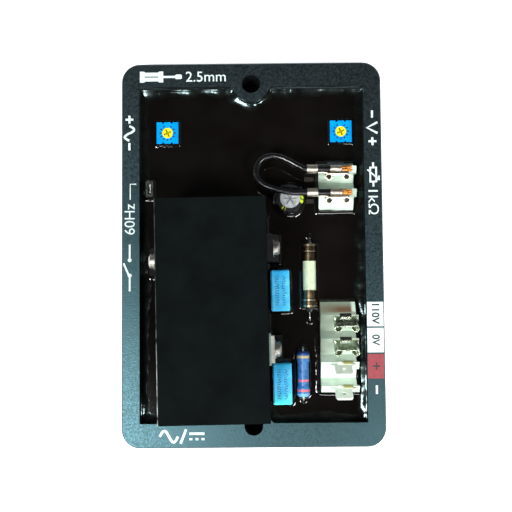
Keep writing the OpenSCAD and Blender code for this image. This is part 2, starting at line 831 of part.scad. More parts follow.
module trimmer_wiper(place) color("#c8a24a")
    translate([place[0], place[1], rotor_z - wiper_t]) linear_extrude(wiper_t) {
        circle(d = wiper_hub_d);
        for (side = [-1, 1]) rotate(side*wiper_arm_turn) translate([0, -wiper_arm_w/2])
            square([rotor_flange_d/2 - wiper_inset, wiper_arm_w]);
    }

module trimmer_base(place) color("#e9e6dc") difference() {
    translate([place[0] - trim_base_w/2, place[1] - trim_base_w/2, board_top])
        cube([trim_base_w, trim_base_w, trim_base_t]);
    trimmer_pins(place);
}

module trimmer_pins(place) color("silver")
    for (p = [[-1, -1], [1, -1], [0, 1]])
        translate([place[0] + p[0]*trim_pin_offset, place[1] + p[1]*trim_pin_offset, lead_bottom])
            cylinder(d = small_lead_d, h = track_z - lead_bottom);

module stab_trimmer_housing() trimmer_housing(stab_place);
module stab_trimmer_rotor() trimmer_rotor(stab_place);
module stab_trimmer_wiper() trimmer_wiper(stab_place);
module stab_trimmer_base() trimmer_base(stab_place);
module stab_trimmer_pins() trimmer_pins(stab_place);
module volt_trimmer_housing() trimmer_housing(volt_place);
module volt_trimmer_rotor() trimmer_rotor(volt_place);
module volt_trimmer_wiper() trimmer_wiper(volt_place);
module volt_trimmer_base() trimmer_base(volt_place);
module volt_trimmer_pins() trimmer_pins(volt_place);

// Frequency link

module at_link() {
    translate([link_place[0], link_place[1], 0]) children();
}

module link_pin_shape(side, from, to) {
    at_link() for (end = [-1, 1])
        translate([-side/2, end*link_pitch/2 - side/2, from]) cube([side, side, to - from]);
}

module contact_outline(grow) {
    for (end = [-1, 1]) translate([0, end*link_pitch/2]) square(contact_w + 2*grow, center = true);
    square([contact_bridge_w + 2*grow, link_pitch], center = true);
}

module link_envelope() {
    at_link() {
        box_from([-shunt_w/2, shunt_w/2], [-shunt_l/2, shunt_l/2], [header_top, shunt_z + shunt_h]);
        box_from([-shunt_w/2, shunt_w/2], [-link_pitch, link_pitch], [board_top, header_top]);
    }
}

module link_header() color("#181819") difference() {
    at_link() box_from([-shunt_w/2, shunt_w/2], [-link_pitch, link_pitch], [board_top, header_top]);
    link_pin_shape(link_pin, board_top - past, header_top + past);
}

module link_pins() color("#d8d4c8") link_pin_shape(link_pin, lead_bottom, link_pin_top);

module link_shunt() color("#1b1b1c") at_link() translate([0, 0, shunt_z]) difference() {
    box_from([-shunt_w/2, shunt_w/2], [-shunt_l/2, shunt_l/2], [0, shunt_h]);
    translate([0, 0, -past]) linear_extrude(past + contact_h + contact_room) contact_outline(contact_fit);
    translate([0, 0, contact_h]) linear_extrude(shunt_h) square(shunt_slot, center = true);
}

module link_shunt_contact() color("#cfcabb") difference() {
    at_link() translate([0, 0, shunt_z]) linear_extrude(contact_h) contact_outline(0);
    link_pin_shape(link_pin, shunt_z - past, shunt_z + contact_h + past);
}

// Electrolytic capacitor

module at_can() {
    translate([can_place[0], can_place[1], can_z]) children();
}

module reservoir_can() color("#cfd3d4") at_can() difference() {
    can_r = can_d/2 - sleeve_t;
    translate([0, 0, seal_h]) cylinder(r = can_r, h = can_h - sleeve_t - seal_h);
    for (turn = [0, 60, 120]) rotate(turn)
        translate([-can_r/2, -vent_w/2, can_h - sleeve_t - vent_t]) cube([can_r, vent_w, vent_t + past]);
}

module reservoir_sleeve() color("#16171a") at_can() difference() {
    cylinder(d = can_d, h = can_h);
    translate([0, 0, -past]) cylinder(d = can_d - 2*sleeve_t, h = can_h - sleeve_t + past);
    cylinder(d = can_d - 2*sleeve_t - 2*sleeve_lip, h = can_h + past);
}

module reservoir_seal() color("#222222") difference() {
    at_can() cylinder(d = can_d - 2*sleeve_t, h = seal_h);
    reservoir_leads();
}

module reservoir_leads() color("silver")
    for (side = [-1, 1]) translate([can_place[0] + side*can_pitch/2, can_place[1], lead_bottom])
        cylinder(d = lead_d, h = can_z + seal_h - lead_bottom);

// Film capacitors

module film_capacitor(along) color("#2eb2ee")
    in_sink_frame() translate([film_x, along, film_z])
        chamfered_slab(film_w, film_l, film_corner_r, film_h, film_edge);

module upper_film_capacitor() film_capacitor(upper_film_y);
module lower_film_capacitor() film_capacitor(lower_film_y);

module film_capacitor_leads() color("silver")
    in_sink_frame() for (along = [upper_film_y, lower_film_y], end = [-1, 1])
        translate([film_x, along + end*film_pitch/2, lead_bottom])
            cylinder(d = lead_d, h = film_z - lead_bottom);

// Fuse

module along_fuse() {
    translate(fuse_place) children();
}

module fuse_envelope() {
    along_fuse() rotate([90, 0, 0]) {
        cylinder(d = fuse_d, h = fuse_tube_l, center = true);
        for (end = [0, 1]) mirror([0, 0, end]) {
            translate([0, 0, fuse_cap_end - fuse_cap_l]) cylinder(d = fuse_cap_d, h = fuse_cap_l);
            translate([0, 0, pigtail_end - pigtail_cap_l]) cylinder(d = pigtail_d, h = pigtail_cap_l);
        }
    }
}

module fuse_tube() color("#f1efe6") along_fuse() rotate([90, 0, 0]) difference() {
    cylinder(d = fuse_d, h = fuse_tube_l, center = true);
    cylinder(d = fuse_d - 2*fuse_wall, h = fuse_tube_l + past, center = true);
}

module fuse_element() color("#d9d9d9") along_fuse() rotate([90, 0, 0])
    cylinder(d = fuse_element_d, h = fuse_tube_l, center = true);

// A cup that closes over the end of a rod of the given diameter
module end_cup(d, wall, l) {
    difference() {
        translate([0, 0, -l + wall]) cylinder(d = d + 2*wall, h = l);
        translate([0, 0, -l]) cylinder(d = d, h = l);
    }
}

module fuse_caps() color("#c7b27c") along_fuse() rotate([90, 0, 0])
    for (end = [0, 1]) mirror([0, 0, end]) translate([0, 0, fuse_tube_l/2])
        end_cup(fuse_d, fuse_cap_t, fuse_cap_l);

module fuse_pigtails() color("#b9a06a") along_fuse() {
    rise = fuse_place[2] - lead_bottom;
    for (end = [[0, head_pigtail_run], [180, foot_pigtail_run]]) rotate(end[0]) {
        rotate([-90, 0, 0]) translate([0, 0, fuse_cap_end]) {
            end_cup(fuse_cap_d, fuse_cap_t, pigtail_cap_l);
            translate([0, 0, fuse_cap_t])
                cylinder(d1 = pigtail_d - 2*pigtail_shoulder, d2 = lead_d, h = pigtail_cone);
        }
        translate([0, pigtail_end, 0]) bent_lead(lead_d, end[1], rise);
    }
}

// Axial resistor

module power_resistor() color("#3a62c4")
    translate(resistor_place) rotate([90, 0, 0]) {
        cylinder(d = resistor_d, h = resistor_l - 2*resistor_taper[1], center = true);
        for (end = [0, 1]) mirror([0, 0, end]) translate([0, 0, resistor_l/2]) {
            translate([0, 0, -resistor_end_l])
                cylinder(d = resistor_end_d, h = resistor_end_l - resistor_taper[1]);
            translate([0, 0, -resistor_taper[1]])
                cylinder(d1 = resistor_end_d, d2 = resistor_end_d - 2*resistor_taper[0],
                         h = resistor_taper[1]);
            translate([0, 0, -resistor_end_l - resistor_neck])
                cylinder(d1 = resistor_d, d2 = resistor_end_d, h = resistor_neck);
        }
    }

module power_resistor_leads() color("silver")
    translate(resistor_place)
        axial_leads(lead_d, resistor_l, resistor_run, resistor_place[2] - lead_bottom);

// Terminal blocks and terminals

module block_body(ridges, foot, head) {
    last = len(ridges) - 1;
    foot_z = ridge_z - (ridges[0] - foot)*tan(block_slope);
    teeth = [for (i = [0:last]) each i < last
        ? [[ridges[i], ridge_z], [ridges[i] + block_riser, ridge_z - tooth_drop]]
        : [[ridges[i], ridge_z]]];
    translate([block_left, 0, 0]) rotate([90, 0, 90]) linear_extrude(block_w)
        polygon(concat([[foot, board_top], [foot, foot_z]], teeth,
                       [[head, ridge_z - tooth_drop], [head, board_top]]));
    translate([block_left + block_w - weld, 0, 0]) rotate([90, 0, 90]) linear_extrude(ear_w + weld)
        for (r = ridges) let (back = min(ear_l, r - foot))
            polygon([[r - back, board_top], [r - back, ridge_z - back*tan(block_slope)],
                     [r, ridge_z], [r, board_top]]);
}

// The frame of a blade: X across it, Y up its length from the block, Z out of its upper face
module on_blade(x, ridge) {
    translate([x, ridge - root_back, ridge_z - root_drop]) rotate([90 + block_slope, 0, 0])
        mirror([0, 0, 1]) children();
}

// The foot of a terminal, inside its block and through the board
module terminal_stem(x, ridge) {
    half = blade_t/2;
    along = [-sin(block_slope), cos(block_slope)];
    across = [cos(block_slope), sin(block_slope)];
    root = [ridge - root_back, ridge_z - root_drop];
    bend = root - stem_depth*along;
    mitre = half*[1, tan(block_slope/2)];
    translate([x - blade_w/2, 0, 0]) rotate([90, 0, 90]) linear_extrude(blade_w)
        polygon([root + half*across, root - half*across, bend - mitre,
                 [bend[0] - half, board_top], [bend[0] + half, board_top], bend + mitre]);
    for (side = [-1, 1]) translate([x + side*leg_spread, bend[0], 0])
        box_from([-leg_w/2, leg_w/2], [-half, half], [lead_bottom, board_top]);
}

module blade(x, ridge) {
    terminal_stem(x, ridge);
    half = blade_w/2;
    on_blade(x, ridge) difference() {
        translate([0, 0, -blade_t/2]) linear_extrude(blade_t) {
            polygon([[-half, 0], [half, 0], [half, blade_l - tip_chamfer], [half - tip_chamfer/2, blade_l],
                     [tip_chamfer/2 - half, blade_l], [-half, blade_l - tip_chamfer]]);
            polygon([[-shoulder_w/2, shoulder_foot], [shoulder_w/2, shoulder_foot],
                     [shoulder_w/2, shoulder_side], [half, shoulder_top],
                     [-half, shoulder_top], [-shoulder_w/2, shoulder_side]]);
        }
        translate([0, blade_hole_u, -past]) cylinder(d = blade_hole_d, h = 2*past);
    }
    on_blade(x, ridge) translate([root_bend_x, 0, blade_t/2]) rotate([0, 90, 0])
        cylinder(r = root_bend_r, h = root_bend_w, center = true);
}

// Section of a receptacle across its blade, with its floor's inner face at y = 0
module receptacle_section() {
    curl_x = blade_w/2 + receptacle_fit;
    translate([-curl_x, 0]) square([2*curl_x, sheet_t]);
    for (side = [0, 1]) mirror([side, 0, 0]) translate([curl_x, sheet_t - curl_r]) difference() {
        circle(curl_r);
        circle(curl_r - sheet_t);
        translate([-curl_r, -blade_t - receptacle_fit + curl_r - sheet_t])
            square([curl_r, 2*curl_r]);
    }
}

module receptacle(from, to, floor_n) {
    translate([0, to, floor_n]) rotate([90, 0, 0]) linear_extrude(to - from) receptacle_section();
}

module socket(x, ridge) {
    terminal_stem(x, ridge);
    on_blade(x, ridge) difference() {
        union() {
            receptacle(socket_from, blade_l, socket_floor);
            translate([-blade_w/2, 0, socket_floor]) cube([blade_w, socket_from + 2*weld, sheet_t]);
            translate([-blade_w/2, 0, -blade_t/2]) cube([blade_w, socket_root, blade_t]);
            translate([-shoulder_w/2, shoulder_foot, -blade_t/2])
                cube([shoulder_w, shoulder_side - shoulder_foot, blade_t]);
        }
        translate([-socket_window[0]/2, shoulder_side, socket_floor - past])
            cube([socket_window[0], socket_window[1], sheet_t + 2*past]);
    }
}

module terminal_block(ridges, foot, head) color("#e6efe6") difference() {
    block_body(ridges, foot, head);
    children();
}

module pot_tabs() color("#c9ccc6") for (r = pot_ridges) blade(block_mid, r);

module pot_terminal_block() terminal_block(pot_ridges, pot_foot, pot_head) pot_tabs();

module excitation_tabs() color("#d6d9d2") for (i = [0, 1]) blade(power_tab_x, power_ridges[i]);

module supply_sockets() color("#c9ccc6") for (i = [2, 3])
    socket(power_tab_x + socket_offset, power_ridges[i]);

module power_terminal_block() terminal_block(power_ridges, power_foot, power_head) {
    excitation_tabs();
    supply_sockets();
}

// Jumper

module crimp_tube(from, l, outer_r, inner_d) {
    translate([from, crimp_u, crimp_n]) rotate([0, 90, 0]) difference() {
        cylinder(r = outer_r, h = l);
        translate([0, 0, -past]) cylinder(d = inner_d, h = l + 2*past);
    }
}

module flag_receptacle(ridge) color("#cfcfca") on_blade(block_mid, ridge) {
    floor_n = blade_t/2;
    difference() {
        union() {
            receptacle(receptacle_from, blade_l + receptacle_over, floor_n);
            translate([insulation_crimp_x, crimp_u - tongue_back - tongue_w/2, floor_n])
                cube([-insulation_crimp_x, tongue_w, sheet_t]);
            crimp_tube(insulation_crimp_x, insulation_crimp_l, insulation_crimp_r, wire_d);
            crimp_tube(strand_crimp_x, strand_crimp_l, strand_crimp_r, strand_d);
        }
        translate([insulation_crimp_x - past, crimp_u, crimp_n]) rotate([0, 90, 0])
            cylinder(d = wire_d, h = strand_crimp_x - insulation_crimp_x);
        translate([insulation_crimp_x, crimp_u, crimp_n]) rotate([0, 90, 0])
            cylinder(d = strand_d, h = strand_crimp_l - insulation_crimp_x + strand_crimp_x);
        translate([strand_crimp_x - past, crimp_u - crimp_seam/2, crimp_n + strand_d/2 - 2*weld])
            cube([strand_crimp_l + 2*past, crimp_seam, crimp_wall + past]);
    }
}

module jumper_upper_receptacle() flag_receptacle(pot_ridges[1]);
module jumper_lower_receptacle() flag_receptacle(pot_ridges[0]);

module jumper_strands() color("#d98a4a")
    for (ridge = pot_ridges) on_blade(block_mid, ridge)
        translate([wire_end_x, crimp_u, crimp_n]) rotate([0, 90, 0])
            cylinder(d = strand_d, h = strand_end_x - wire_end_x);

function unit(v) = v/norm(v);
function tangent(p, i) = i == 0 ? unit(p[1] - p[0])
    : i == len(p) - 1 ? unit(p[i] - p[i - 1])
    : unit(unit(p[i + 1] - p[i]) + unit(p[i] - p[i - 1]));
function ring(p, t, r, sides) = let (across = unit(cross([0, 0, 1], t)), up = cross(t, across))
    [for (k = [0:sides - 1]) p + r*cos(360*k/sides)*across + r*sin(360*k/sides)*up];

// A tube swept along a route, closed at both ends
module swept_tube(route, d, sides) {
    count = len(route);
    points = [for (i = [0:count - 1]) each ring(route[i], tangent(route, i), d/2, sides)];
    walls = [for (i = [0:count - 2], k = [0:sides - 1]) let (a = i*sides + k, b = i*sides + (k + 1)%sides)
        [a, a + sides, b + sides, b]];
    start = [for (k = [0:sides - 1]) k];
    end = [for (k = [sides - 1:-1:0]) (count - 1)*sides + k];
    polyhedron(points, concat(walls, [start, end]));
}

module jumper_wire() color("#141516") swept_tube(jumper_points, wire_d, wire_sides);

// Small parts under the resin

module control_chip() color("#1c1d1f")
    translate([0, head_wall - chip_from_head, board_top + chip_standoff]) difference() {
        translate([-chip_l/2, -chip_w/2, 0]) cube([chip_l, chip_w, chip_h]);
        translate([-chip_l/2, 0, chip_h - chip_mark[1]])
            cylinder(d = chip_mark[0], h = chip_mark[1] + past);
    }

module control_chip_pins() color("silver")
    for (i = [-3:3], side = [-1, 1])
        translate([i*chip_pitch, head_wall - chip_from_head, 0]) {
            inner = chip_w/2;
            outer = chip_row/2 + chip_pin_over;
            shoulder_z = board_top + chip_standoff + chip_shoulder_rise;
            row = side > 0 ? [inner, outer] : [-outer, -inner];
            foot = side > 0 ? [outer - chip_pin_t, outer] : [-outer, chip_pin_t - outer];
            wide = [-chip_shoulder_w/2, chip_shoulder_w/2];
            box_from(wide, row, [shoulder_z, shoulder_z + chip_pin_t]);
            box_from(wide, foot, [board_top, shoulder_z + weld]);
            box_from([-chip_pin_w/2, chip_pin_w/2], foot, [lead_bottom, board_top + weld]);
        }

small_z = board_top + small_rise;
resistor_row = [for (i = [-2:1]) [resistors_x + i*small_pitch, head_wall - resistors_from_head, small_z]];
diode_row = [for (i = [0, 1]) [diodes_x - i*small_pitch, head_wall - diodes_from_head, small_z]];

module small_leads(row, l) {
    for (p = row) translate(p) axial_leads(small_lead_d, l, small_run, p[2] - lead_bottom);
}

module board_resistors() color("#b9a37c")
    for (p = resistor_row) translate(p) rotate([90, 0, 0]) {
        cylinder(d = small_d - small_waist, h = small_l, center = true);
        for (end = [0, 1]) mirror([0, 0, end]) translate([0, 0, small_l/2 - small_end_l])
            cylinder(d = small_d, h = small_end_l);
    }

module board_resistor_leads() color("silver") small_leads(resistor_row, small_l);

module board_diodes() color("#232426")
    for (p = diode_row) translate(p) rotate([90, 0, 0]) cylinder(d = diode_d, h = diode_l, center = true);

module board_diode_leads() color("silver") small_leads(diode_row, diode_l);

case();
circuit_board();
potting_resin();
heatsink();
upper_thyristor();
upper_thyristor_leads();
lower_thyristor();
lower_thyristor_frame();
insulating_pad();
freewheel_diode();
freewheel_diode_leads();
device_screws();
device_washers();
stab_trimmer_housing();
stab_trimmer_rotor();
stab_trimmer_wiper();
stab_trimmer_base();
stab_trimmer_pins();
volt_trimmer_housing();
volt_trimmer_rotor();
volt_trimmer_wiper();
volt_trimmer_base();
volt_trimmer_pins();
link_header();
link_pins();
link_shunt();
link_shunt_contact();
reservoir_can();
reservoir_sleeve();
reservoir_seal();
reservoir_leads();
upper_film_capacitor();
lower_film_capacitor();
film_capacitor_leads();
fuse_tube();
fuse_element();
fuse_caps();
fuse_pigtails();
power_resistor();
power_resistor_leads();
pot_terminal_block();
pot_tabs();
power_terminal_block();
excitation_tabs();
supply_sockets();
jumper_wire();
jumper_upper_receptacle();
jumper_lower_receptacle();
jumper_strands();
control_chip();
control_chip_pins();
board_resistors();
board_resistor_leads();
board_diodes();
board_diode_leads();
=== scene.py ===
# Potted generator voltage regulator: camera, jumper lead, resin menisci, printed marks, finishes and studio
import math

import bpy
from mathutils import Matrix, Vector, noise
from mathutils.geometry import convex_hull_2d


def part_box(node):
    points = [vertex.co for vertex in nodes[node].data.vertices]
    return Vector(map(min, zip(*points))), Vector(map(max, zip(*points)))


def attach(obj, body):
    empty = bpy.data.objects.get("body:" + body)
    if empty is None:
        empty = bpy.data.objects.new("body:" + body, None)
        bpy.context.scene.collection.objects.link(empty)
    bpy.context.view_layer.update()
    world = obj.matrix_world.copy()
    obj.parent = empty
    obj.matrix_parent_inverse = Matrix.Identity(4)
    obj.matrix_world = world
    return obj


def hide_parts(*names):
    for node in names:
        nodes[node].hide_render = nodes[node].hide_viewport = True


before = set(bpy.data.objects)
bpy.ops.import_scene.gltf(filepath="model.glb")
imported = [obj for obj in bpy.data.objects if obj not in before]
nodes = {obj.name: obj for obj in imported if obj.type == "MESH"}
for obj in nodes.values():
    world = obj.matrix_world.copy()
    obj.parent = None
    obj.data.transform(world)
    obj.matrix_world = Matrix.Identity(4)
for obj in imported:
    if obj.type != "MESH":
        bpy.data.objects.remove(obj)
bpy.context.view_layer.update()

MM = 0.001
BODY = "unit"

# Heights in millimetres, as in the part's source
rim_z = 17.0
resin_z = 12.0
# Thickness of printed ink, and how far it is sunk into what carries it
print_t = 0.05
print_sunk = 0.01


# Small tools of the bench


def only(*objs):
    """Selects these objects and nothing else, the first one active."""
    bpy.ops.object.select_all(action="DESELECT")
    for obj in objs:
        obj.select_set(True)
    bpy.context.view_layer.objects.active = objs[0]


def settle(obj):
    """Moves an object's place, turn and size into its mesh."""
    only(obj)
    bpy.ops.object.transform_apply(location=True, rotation=True, scale=True)
    return obj


def as_mesh(obj):
    """Turns a curve or text into a mesh."""
    only(obj)
    bpy.ops.object.convert(target="MESH")
    return bpy.context.object


def join(objs):
    """Joins meshes into the first one."""
    only(*objs)
    if len(objs) > 1:
        bpy.ops.object.join()
    return bpy.context.object


def close_up(obj):
    """Merges double points and points all faces outwards."""
    only(obj)
    bpy.ops.object.mode_set(mode="EDIT")
    bpy.ops.mesh.select_all(action="SELECT")
    bpy.ops.mesh.remove_doubles(threshold=1e-7)
    bpy.ops.mesh.normals_make_consistent(inside=False)
    bpy.ops.object.mode_set(mode="OBJECT")
    return obj


def smooth(obj, angle=40):
    """Shades an object smooth, but for edges sharper than an angle."""
    only(obj)
    bpy.ops.object.shade_smooth_by_angle(angle=math.radians(angle))
    return obj


def dress(obj, name, material):
    """Names a finished piece, gives it its material and lets it ride on the unit."""
    obj.name = name
    obj.data.name = name
    obj.data.materials.clear()
    obj.data.materials.append(material)
    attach(obj, BODY)
    return obj


def line(name, points, cyclic=False):
    """Makes a straight-edged curve through points given in metres."""
    bpy.ops.curve.primitive_nurbs_path_add()
    obj = bpy.context.object
    obj.name = name
    data = obj.data
    data.splines.clear()
    data.dimensions = "3D"
    data.twist_mode = "Z_UP"
    add_run(data, points, cyclic)
    return obj


# Waver of a fillet's thickness: a slow and a quick one, each with its size and its share
slow_size = 7.0
slow_share = 1.3
quick_size = 2.3
quick_share = 0.6


def add_run(data, points, cyclic, unevenness=0.0):
    """Adds one more run of points to a curve, its thickness uneven along the way."""
    spline = data.splines.new("POLY")
    spline.points.add(len(points) - 1)
    for point, place in zip(spline.points, points):
        point.co = (place[0], place[1], place[2], 1)
        slow = noise.noise(Vector(place) * per_mm(slow_size))
        quick = noise.noise(Vector(place) * per_mm(quick_size))
        point.radius = 1 + unevenness * (slow_share * slow + quick_share * quick)
    spline.use_cyclic_u = cyclic


# Node and colour helpers


def linear(code):
    """Turns an sRGB hex colour into linear light."""
    parts = [int(code[i:i + 2], 16) / 255 for i in (1, 3, 5)]
    return (*[c / 12.92 if c <= 0.04045 else ((c + 0.055) / 1.055) ** 2.4 for c in parts], 1.0)


def per_mm(size):
    """Texture scale that makes a pattern of this size in millimetres."""
    return 1 / (size * MM)


def add(tree, kind, inputs=(), **settings):
    """Adds a node with its settings, and links or sets its inputs, given by name or in their order."""
    node = tree.nodes.new(kind)
    for name, value in settings.items():
        setattr(node, name, value)
    pairs = inputs.items() if isinstance(inputs, dict) else enumerate(inputs)
    for key, value in pairs:
        socket = node.inputs[key]
        if isinstance(value, bpy.types.Node):
            value = value.outputs[0]
        if isinstance(value, bpy.types.NodeSocket):
            tree.links.new(value, socket)
        else:
            socket.default_value = value
    return node


# Mix node's colour sockets, which share their names with its other kinds
MIX_A, MIX_B, MIX_OUT = 6, 7, 2


def surface(name, **values):
    """Starts a material: its shader's constants, and coordinates in metres on the object."""
    material = bpy.data.materials.new(name)
    material.use_nodes = True
    tree = material.node_tree
    tree.nodes.clear()
    shader = add(tree, "ShaderNodeBsdfPrincipled", {k.replace("_", " "): v for k, v in values.items()})
    add(tree, "ShaderNodeOutputMaterial", {"Surface": shader})
    coords = add(tree, "ShaderNodeTexCoord").outputs["Object"]
    return material, tree, shader, coords


def worked(name, dark, pale, rough, patch, grain, relief, **values):
    """A surface with blotches of two tones, uneven gloss and a fine relief, sizes in millimetres."""
    material, tree, shader, coords = surface(name, **values)
    blotch = add(tree, "ShaderNodeTexNoise", {"Vector": coords, "Scale": per_mm(patch), "Detail": 4.0})
    spread = add(tree, "ShaderNodeMapRange", (blotch, 0.3, 0.7))
    tones = {0: spread, MIX_A: linear(dark), MIX_B: linear(pale)}
    tone = add(tree, "ShaderNodeMix", tones, data_type="RGBA")
    gloss = add(tree, "ShaderNodeMapRange", (spread, 0.0, 1.0, *rough))
    fine = add(tree, "ShaderNodeTexNoise", {"Vector": coords, "Scale": per_mm(grain), "Detail": 2.0})
    bump = add(tree, "ShaderNodeBump", {"Height": fine, "Strength": 0.6, "Distance": relief * MM})
    tree.links.new(tone.outputs[MIX_OUT], shader.inputs["Base Color"])
    tree.links.new(gloss.outputs[0], shader.inputs["Roughness"])
    tree.links.new(bump.outputs[0], shader.inputs["Normal"])
    return material, tree, shader, coords


def paint(tree, shader, code, *masks):
    """Lays a colour over what a shader already has, where all of the masks are one."""
    cover = masks[0]
    for mask in masks[1:]:
        cover = add(tree, "ShaderNodeMath", (cover, mask), operation="MULTIPLY")
    coat = shader.inputs["Base Color"]
    below = coat.links[0].from_socket if coat.is_linked else coat.default_value
    laid = add(tree, "ShaderNodeMix", {0: cover, MIX_A: below, MIX_B: linear(code)}, data_type="RGBA")
    tree.links.new(laid.outputs[MIX_OUT], coat)


# Camera, solved from the case's outline and holes in the photograph


def place_camera():
    centre = Vector((3.35769, -20.89107, 345.84209)) * MM
    toward = Vector((-0.00612143, 0.05995902, -0.99818207))
    up = Vector((0.00911609, 0.99816264, 0.05990195))
    turn = Matrix((toward.cross(up), up, -toward)).transposed()
    bpy.ops.object.camera_add(location=centre, rotation=turn.to_euler())
    camera = bpy.context.object
    camera.name = "camera"
    camera.data.sensor_width = 36
    camera.data.lens = 61.604
    bpy.context.scene.camera = camera


place_camera()


# Jumper lead: a short insulated wire from one receptacle round to the other, held by both

wire_d = 2.5
# Straight stretch in each crimp, and the share of it that is left where the crimp ends
wire_straight = 3.0
end_share = 0.35
# Crimps: where they grip the wire's ends, where the wire leaves them, and their axes
grip_x = 29.15
leave_x = 20.15
upper_y = 30.77
lower_y = 21.97
crimp_z = 22.898
route = [
    (grip_x, upper_y, crimp_z),
    (leave_x, upper_y, crimp_z),
    (17.4, 31.9, 22.9),
    (13.6, 34, 22.8),
    (9.8, 35.5, 22.6),
    (6.2, 35.6, 22.4),
    (3.4, 34, 22.2),
    (1.8, 31.2, 22.1),
    (2, 28, 22.2),
    (4, 25.4, 22.4),
    (7.4, 23.7, 22.7),
    (11.4, 22.7, 22.9),
    (15.6, 22.1, 22.9),
    (18.4, 22, 22.9),
    (leave_x, lower_y, crimp_z),
    (grip_x, lower_y, crimp_z),
]


def jumper_lead():
    bpy.ops.curve.primitive_bezier_curve_add()
    obj = bpy.context.object
    data = obj.data
    data.dimensions = "3D"
    points = data.splines[0].bezier_points
    points.add(len(route) - len(points))
    for point, place in zip(points, route):
        point.co = Vector(place) * MM
        point.handle_left_type = "AUTO"
        point.handle_right_type = "AUTO"
    # inside its crimps the wire is straight
    ahead = Vector((wire_straight, 0, 0)) * MM
    for first, second, sign in ((0, 1, 1), (-1, -2, -1)):
        for i in (first, second):
            points[i].handle_left_type = "ALIGNED"
            points[i].handle_right_type = "ALIGNED"
        for i, reach in ((first, 1.0), (second, end_share)):
            points[i].handle_left = points[i].co + ahead * sign * reach
            points[i].handle_right = points[i].co - ahead * sign * reach
    data.bevel_depth = wire_d / 2 * MM
    data.bevel_resolution = 5
    data.resolution_u = 10
    data.use_fill_caps = True
    return obj


# Strand ends: seven twisted copper strands past each crimp, fanned a little where they were cut

strand_count = 7
strand_d = 0.6
strand_from = grip_x
strand_to = 37.35
# Radius of the outer strands, and their twist in radians along a millimetre
strand_ring = 0.62
strand_twist = 0.175
# Fan: where it starts, how far it opens, how much it differs, and how far the cut is uneven
fan_from = 34.2
fan_out = 0.55
fan_uneven = 0.6
cut_uneven = 0.5


def strand_points(axis, index):
    """Route of one strand: the middle one straight, the others twisted round it and cut unevenly."""
    y, z = axis
    points = []
    steps = 12
    for s in range(steps + 1):
        x = strand_from + (strand_to - strand_from) * s / steps
        past = max(0.0, x - fan_from) / (strand_to - fan_from)
        fan = 1 + fan_out * past * past * (1 + fan_uneven * math.sin(3 * index))
        ring = 0.0 if index == 0 else strand_ring * fan
        angle = math.radians(360 / (strand_count - 1) * index) + strand_twist * (x - strand_from)
        short = cut_uneven * (1 + math.sin(5 * index)) * past
        points.append(Vector((x - short, y + ring * math.cos(angle), z + ring * math.sin(angle))) * MM)
    return points


def copper_strands():
    made = []
    for axis in ((upper_y, crimp_z), (lower_y, crimp_z)):
        for index in range(strand_count):
            strand = line("strand", strand_points(axis, index))
            strand.data.bevel_depth = strand_d / 2 * MM
            strand.data.bevel_resolution = 2
            strand.data.use_fill_caps = True
            made.append(as_mesh(strand))
    return smooth(close_up(join(made)))


# Resin menisci: where the resin wetted each part and the case's wall it dried as a hollow fillet

# An outline's swell, a fillet's bite into what it wets, and its skirt below the resin
swell = 0.3
bite = 0.25
skirt = 0.05
# Shortest side that an outline keeps, longest piece of a side, and step of an arc in degrees
side_least = 0.02
side_step = 1.2
arc_step = 15
# Rise, reach and unevenness: along the wall, round tall parts, low parts and leads
wall_size = (0.7, 3.0, 0.5)
tall_size = (1.2, 1.9, 0.3)
low_size = (0.9, 1.3, 0.3)
lead_size = (0.8, 1.0, 0.2)
# Angle past which an edge of a fillet stays sharp
fillet_angle = 50
# Heights below which outlines are taken: of parts, of leads and of the heatsink's legs
part_below = 12.5
lead_below = 10
leg_below = 7


def profile(name, rise, reach, set_back):
    """Section of a fillet: x runs out from what it wets, y up from the resin."""
    steps = 9
    points = [(-set_back - bite, -skirt, 0), (reach - set_back, -skirt, 0)]
    for s in range(steps):
        far = 1 - s / (steps - 1)
        points.append((far * reach - set_back, rise * (1 - far) ** 2, 0))
    points.append((-set_back - bite, rise, 0))
    return line(name, [Vector(p) * MM for p in points], True)


def footprint(name, below=part_below, keep=None):
    """Outline, counter-clockwise and in millimetres, of what a node has below a height."""
    found = []
    for vertex in nodes[name].data.vertices:
        place = vertex.co / MM
        if place.z < below and (keep is None or keep(place)):
            found.append(place.xy)
    hull = [found[i] for i in convex_hull_2d(found)]
    corners = [p for i, p in enumerate(hull) if (p - hull[i - 1]).length > side_least]
    turned = sum(a.cross(b) for a, b in zip(corners, corners[1:] + corners[:1]))
    return corners if turned > 0 else corners[::-1]


def two_sides(name, axis, below):
    """Outlines of what a node has on either side of its middle, along x (0) or y (1)."""
    middle = sum(p[axis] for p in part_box(name)) / 2 / MM
    sides = (lambda p: p[axis] < middle, lambda p: p[axis] > middle)
    return [footprint(name, below, side) for side in sides]


def rounded(outline):
    """Swells an outline, with an arc round each corner."""
    ring = []
    for i, corner in enumerate(outline):
        before = corner - outline[i - 1]
        after = outline[(i + 1) % len(outline)] - corner
        start = math.atan2(-before.x, before.y)
        turn = math.atan2(before.cross(after), before.dot(after))
        steps = max(1, math.ceil(abs(turn) / math.radians(arc_step)))
        for s in range(steps + 1):
            angle = start + turn * s / steps
            ring.append(corner + Vector((math.cos(angle), math.sin(angle))) * swell)
    return ring


def dense(outline):
    """Adds points along an outline's long straight sides."""
    made = []
    for i, start in enumerate(outline):
        side = outline[(i + 1) % len(outline)] - start
        count = max(1, math.ceil(side.length / side_step))
        made += [start + side * (s / count) for s in range(count)]
    return made


def arc(centre, radius, start, end, steps=10):
    """Points on an arc, angles in degrees."""
    made = []
    for s in range(steps + 1):
        angle = math.radians(start + (end - start) * s / steps)
        made.append(Vector((centre[0] + radius * math.cos(angle), centre[1] + radius * math.sin(angle))))
    return made


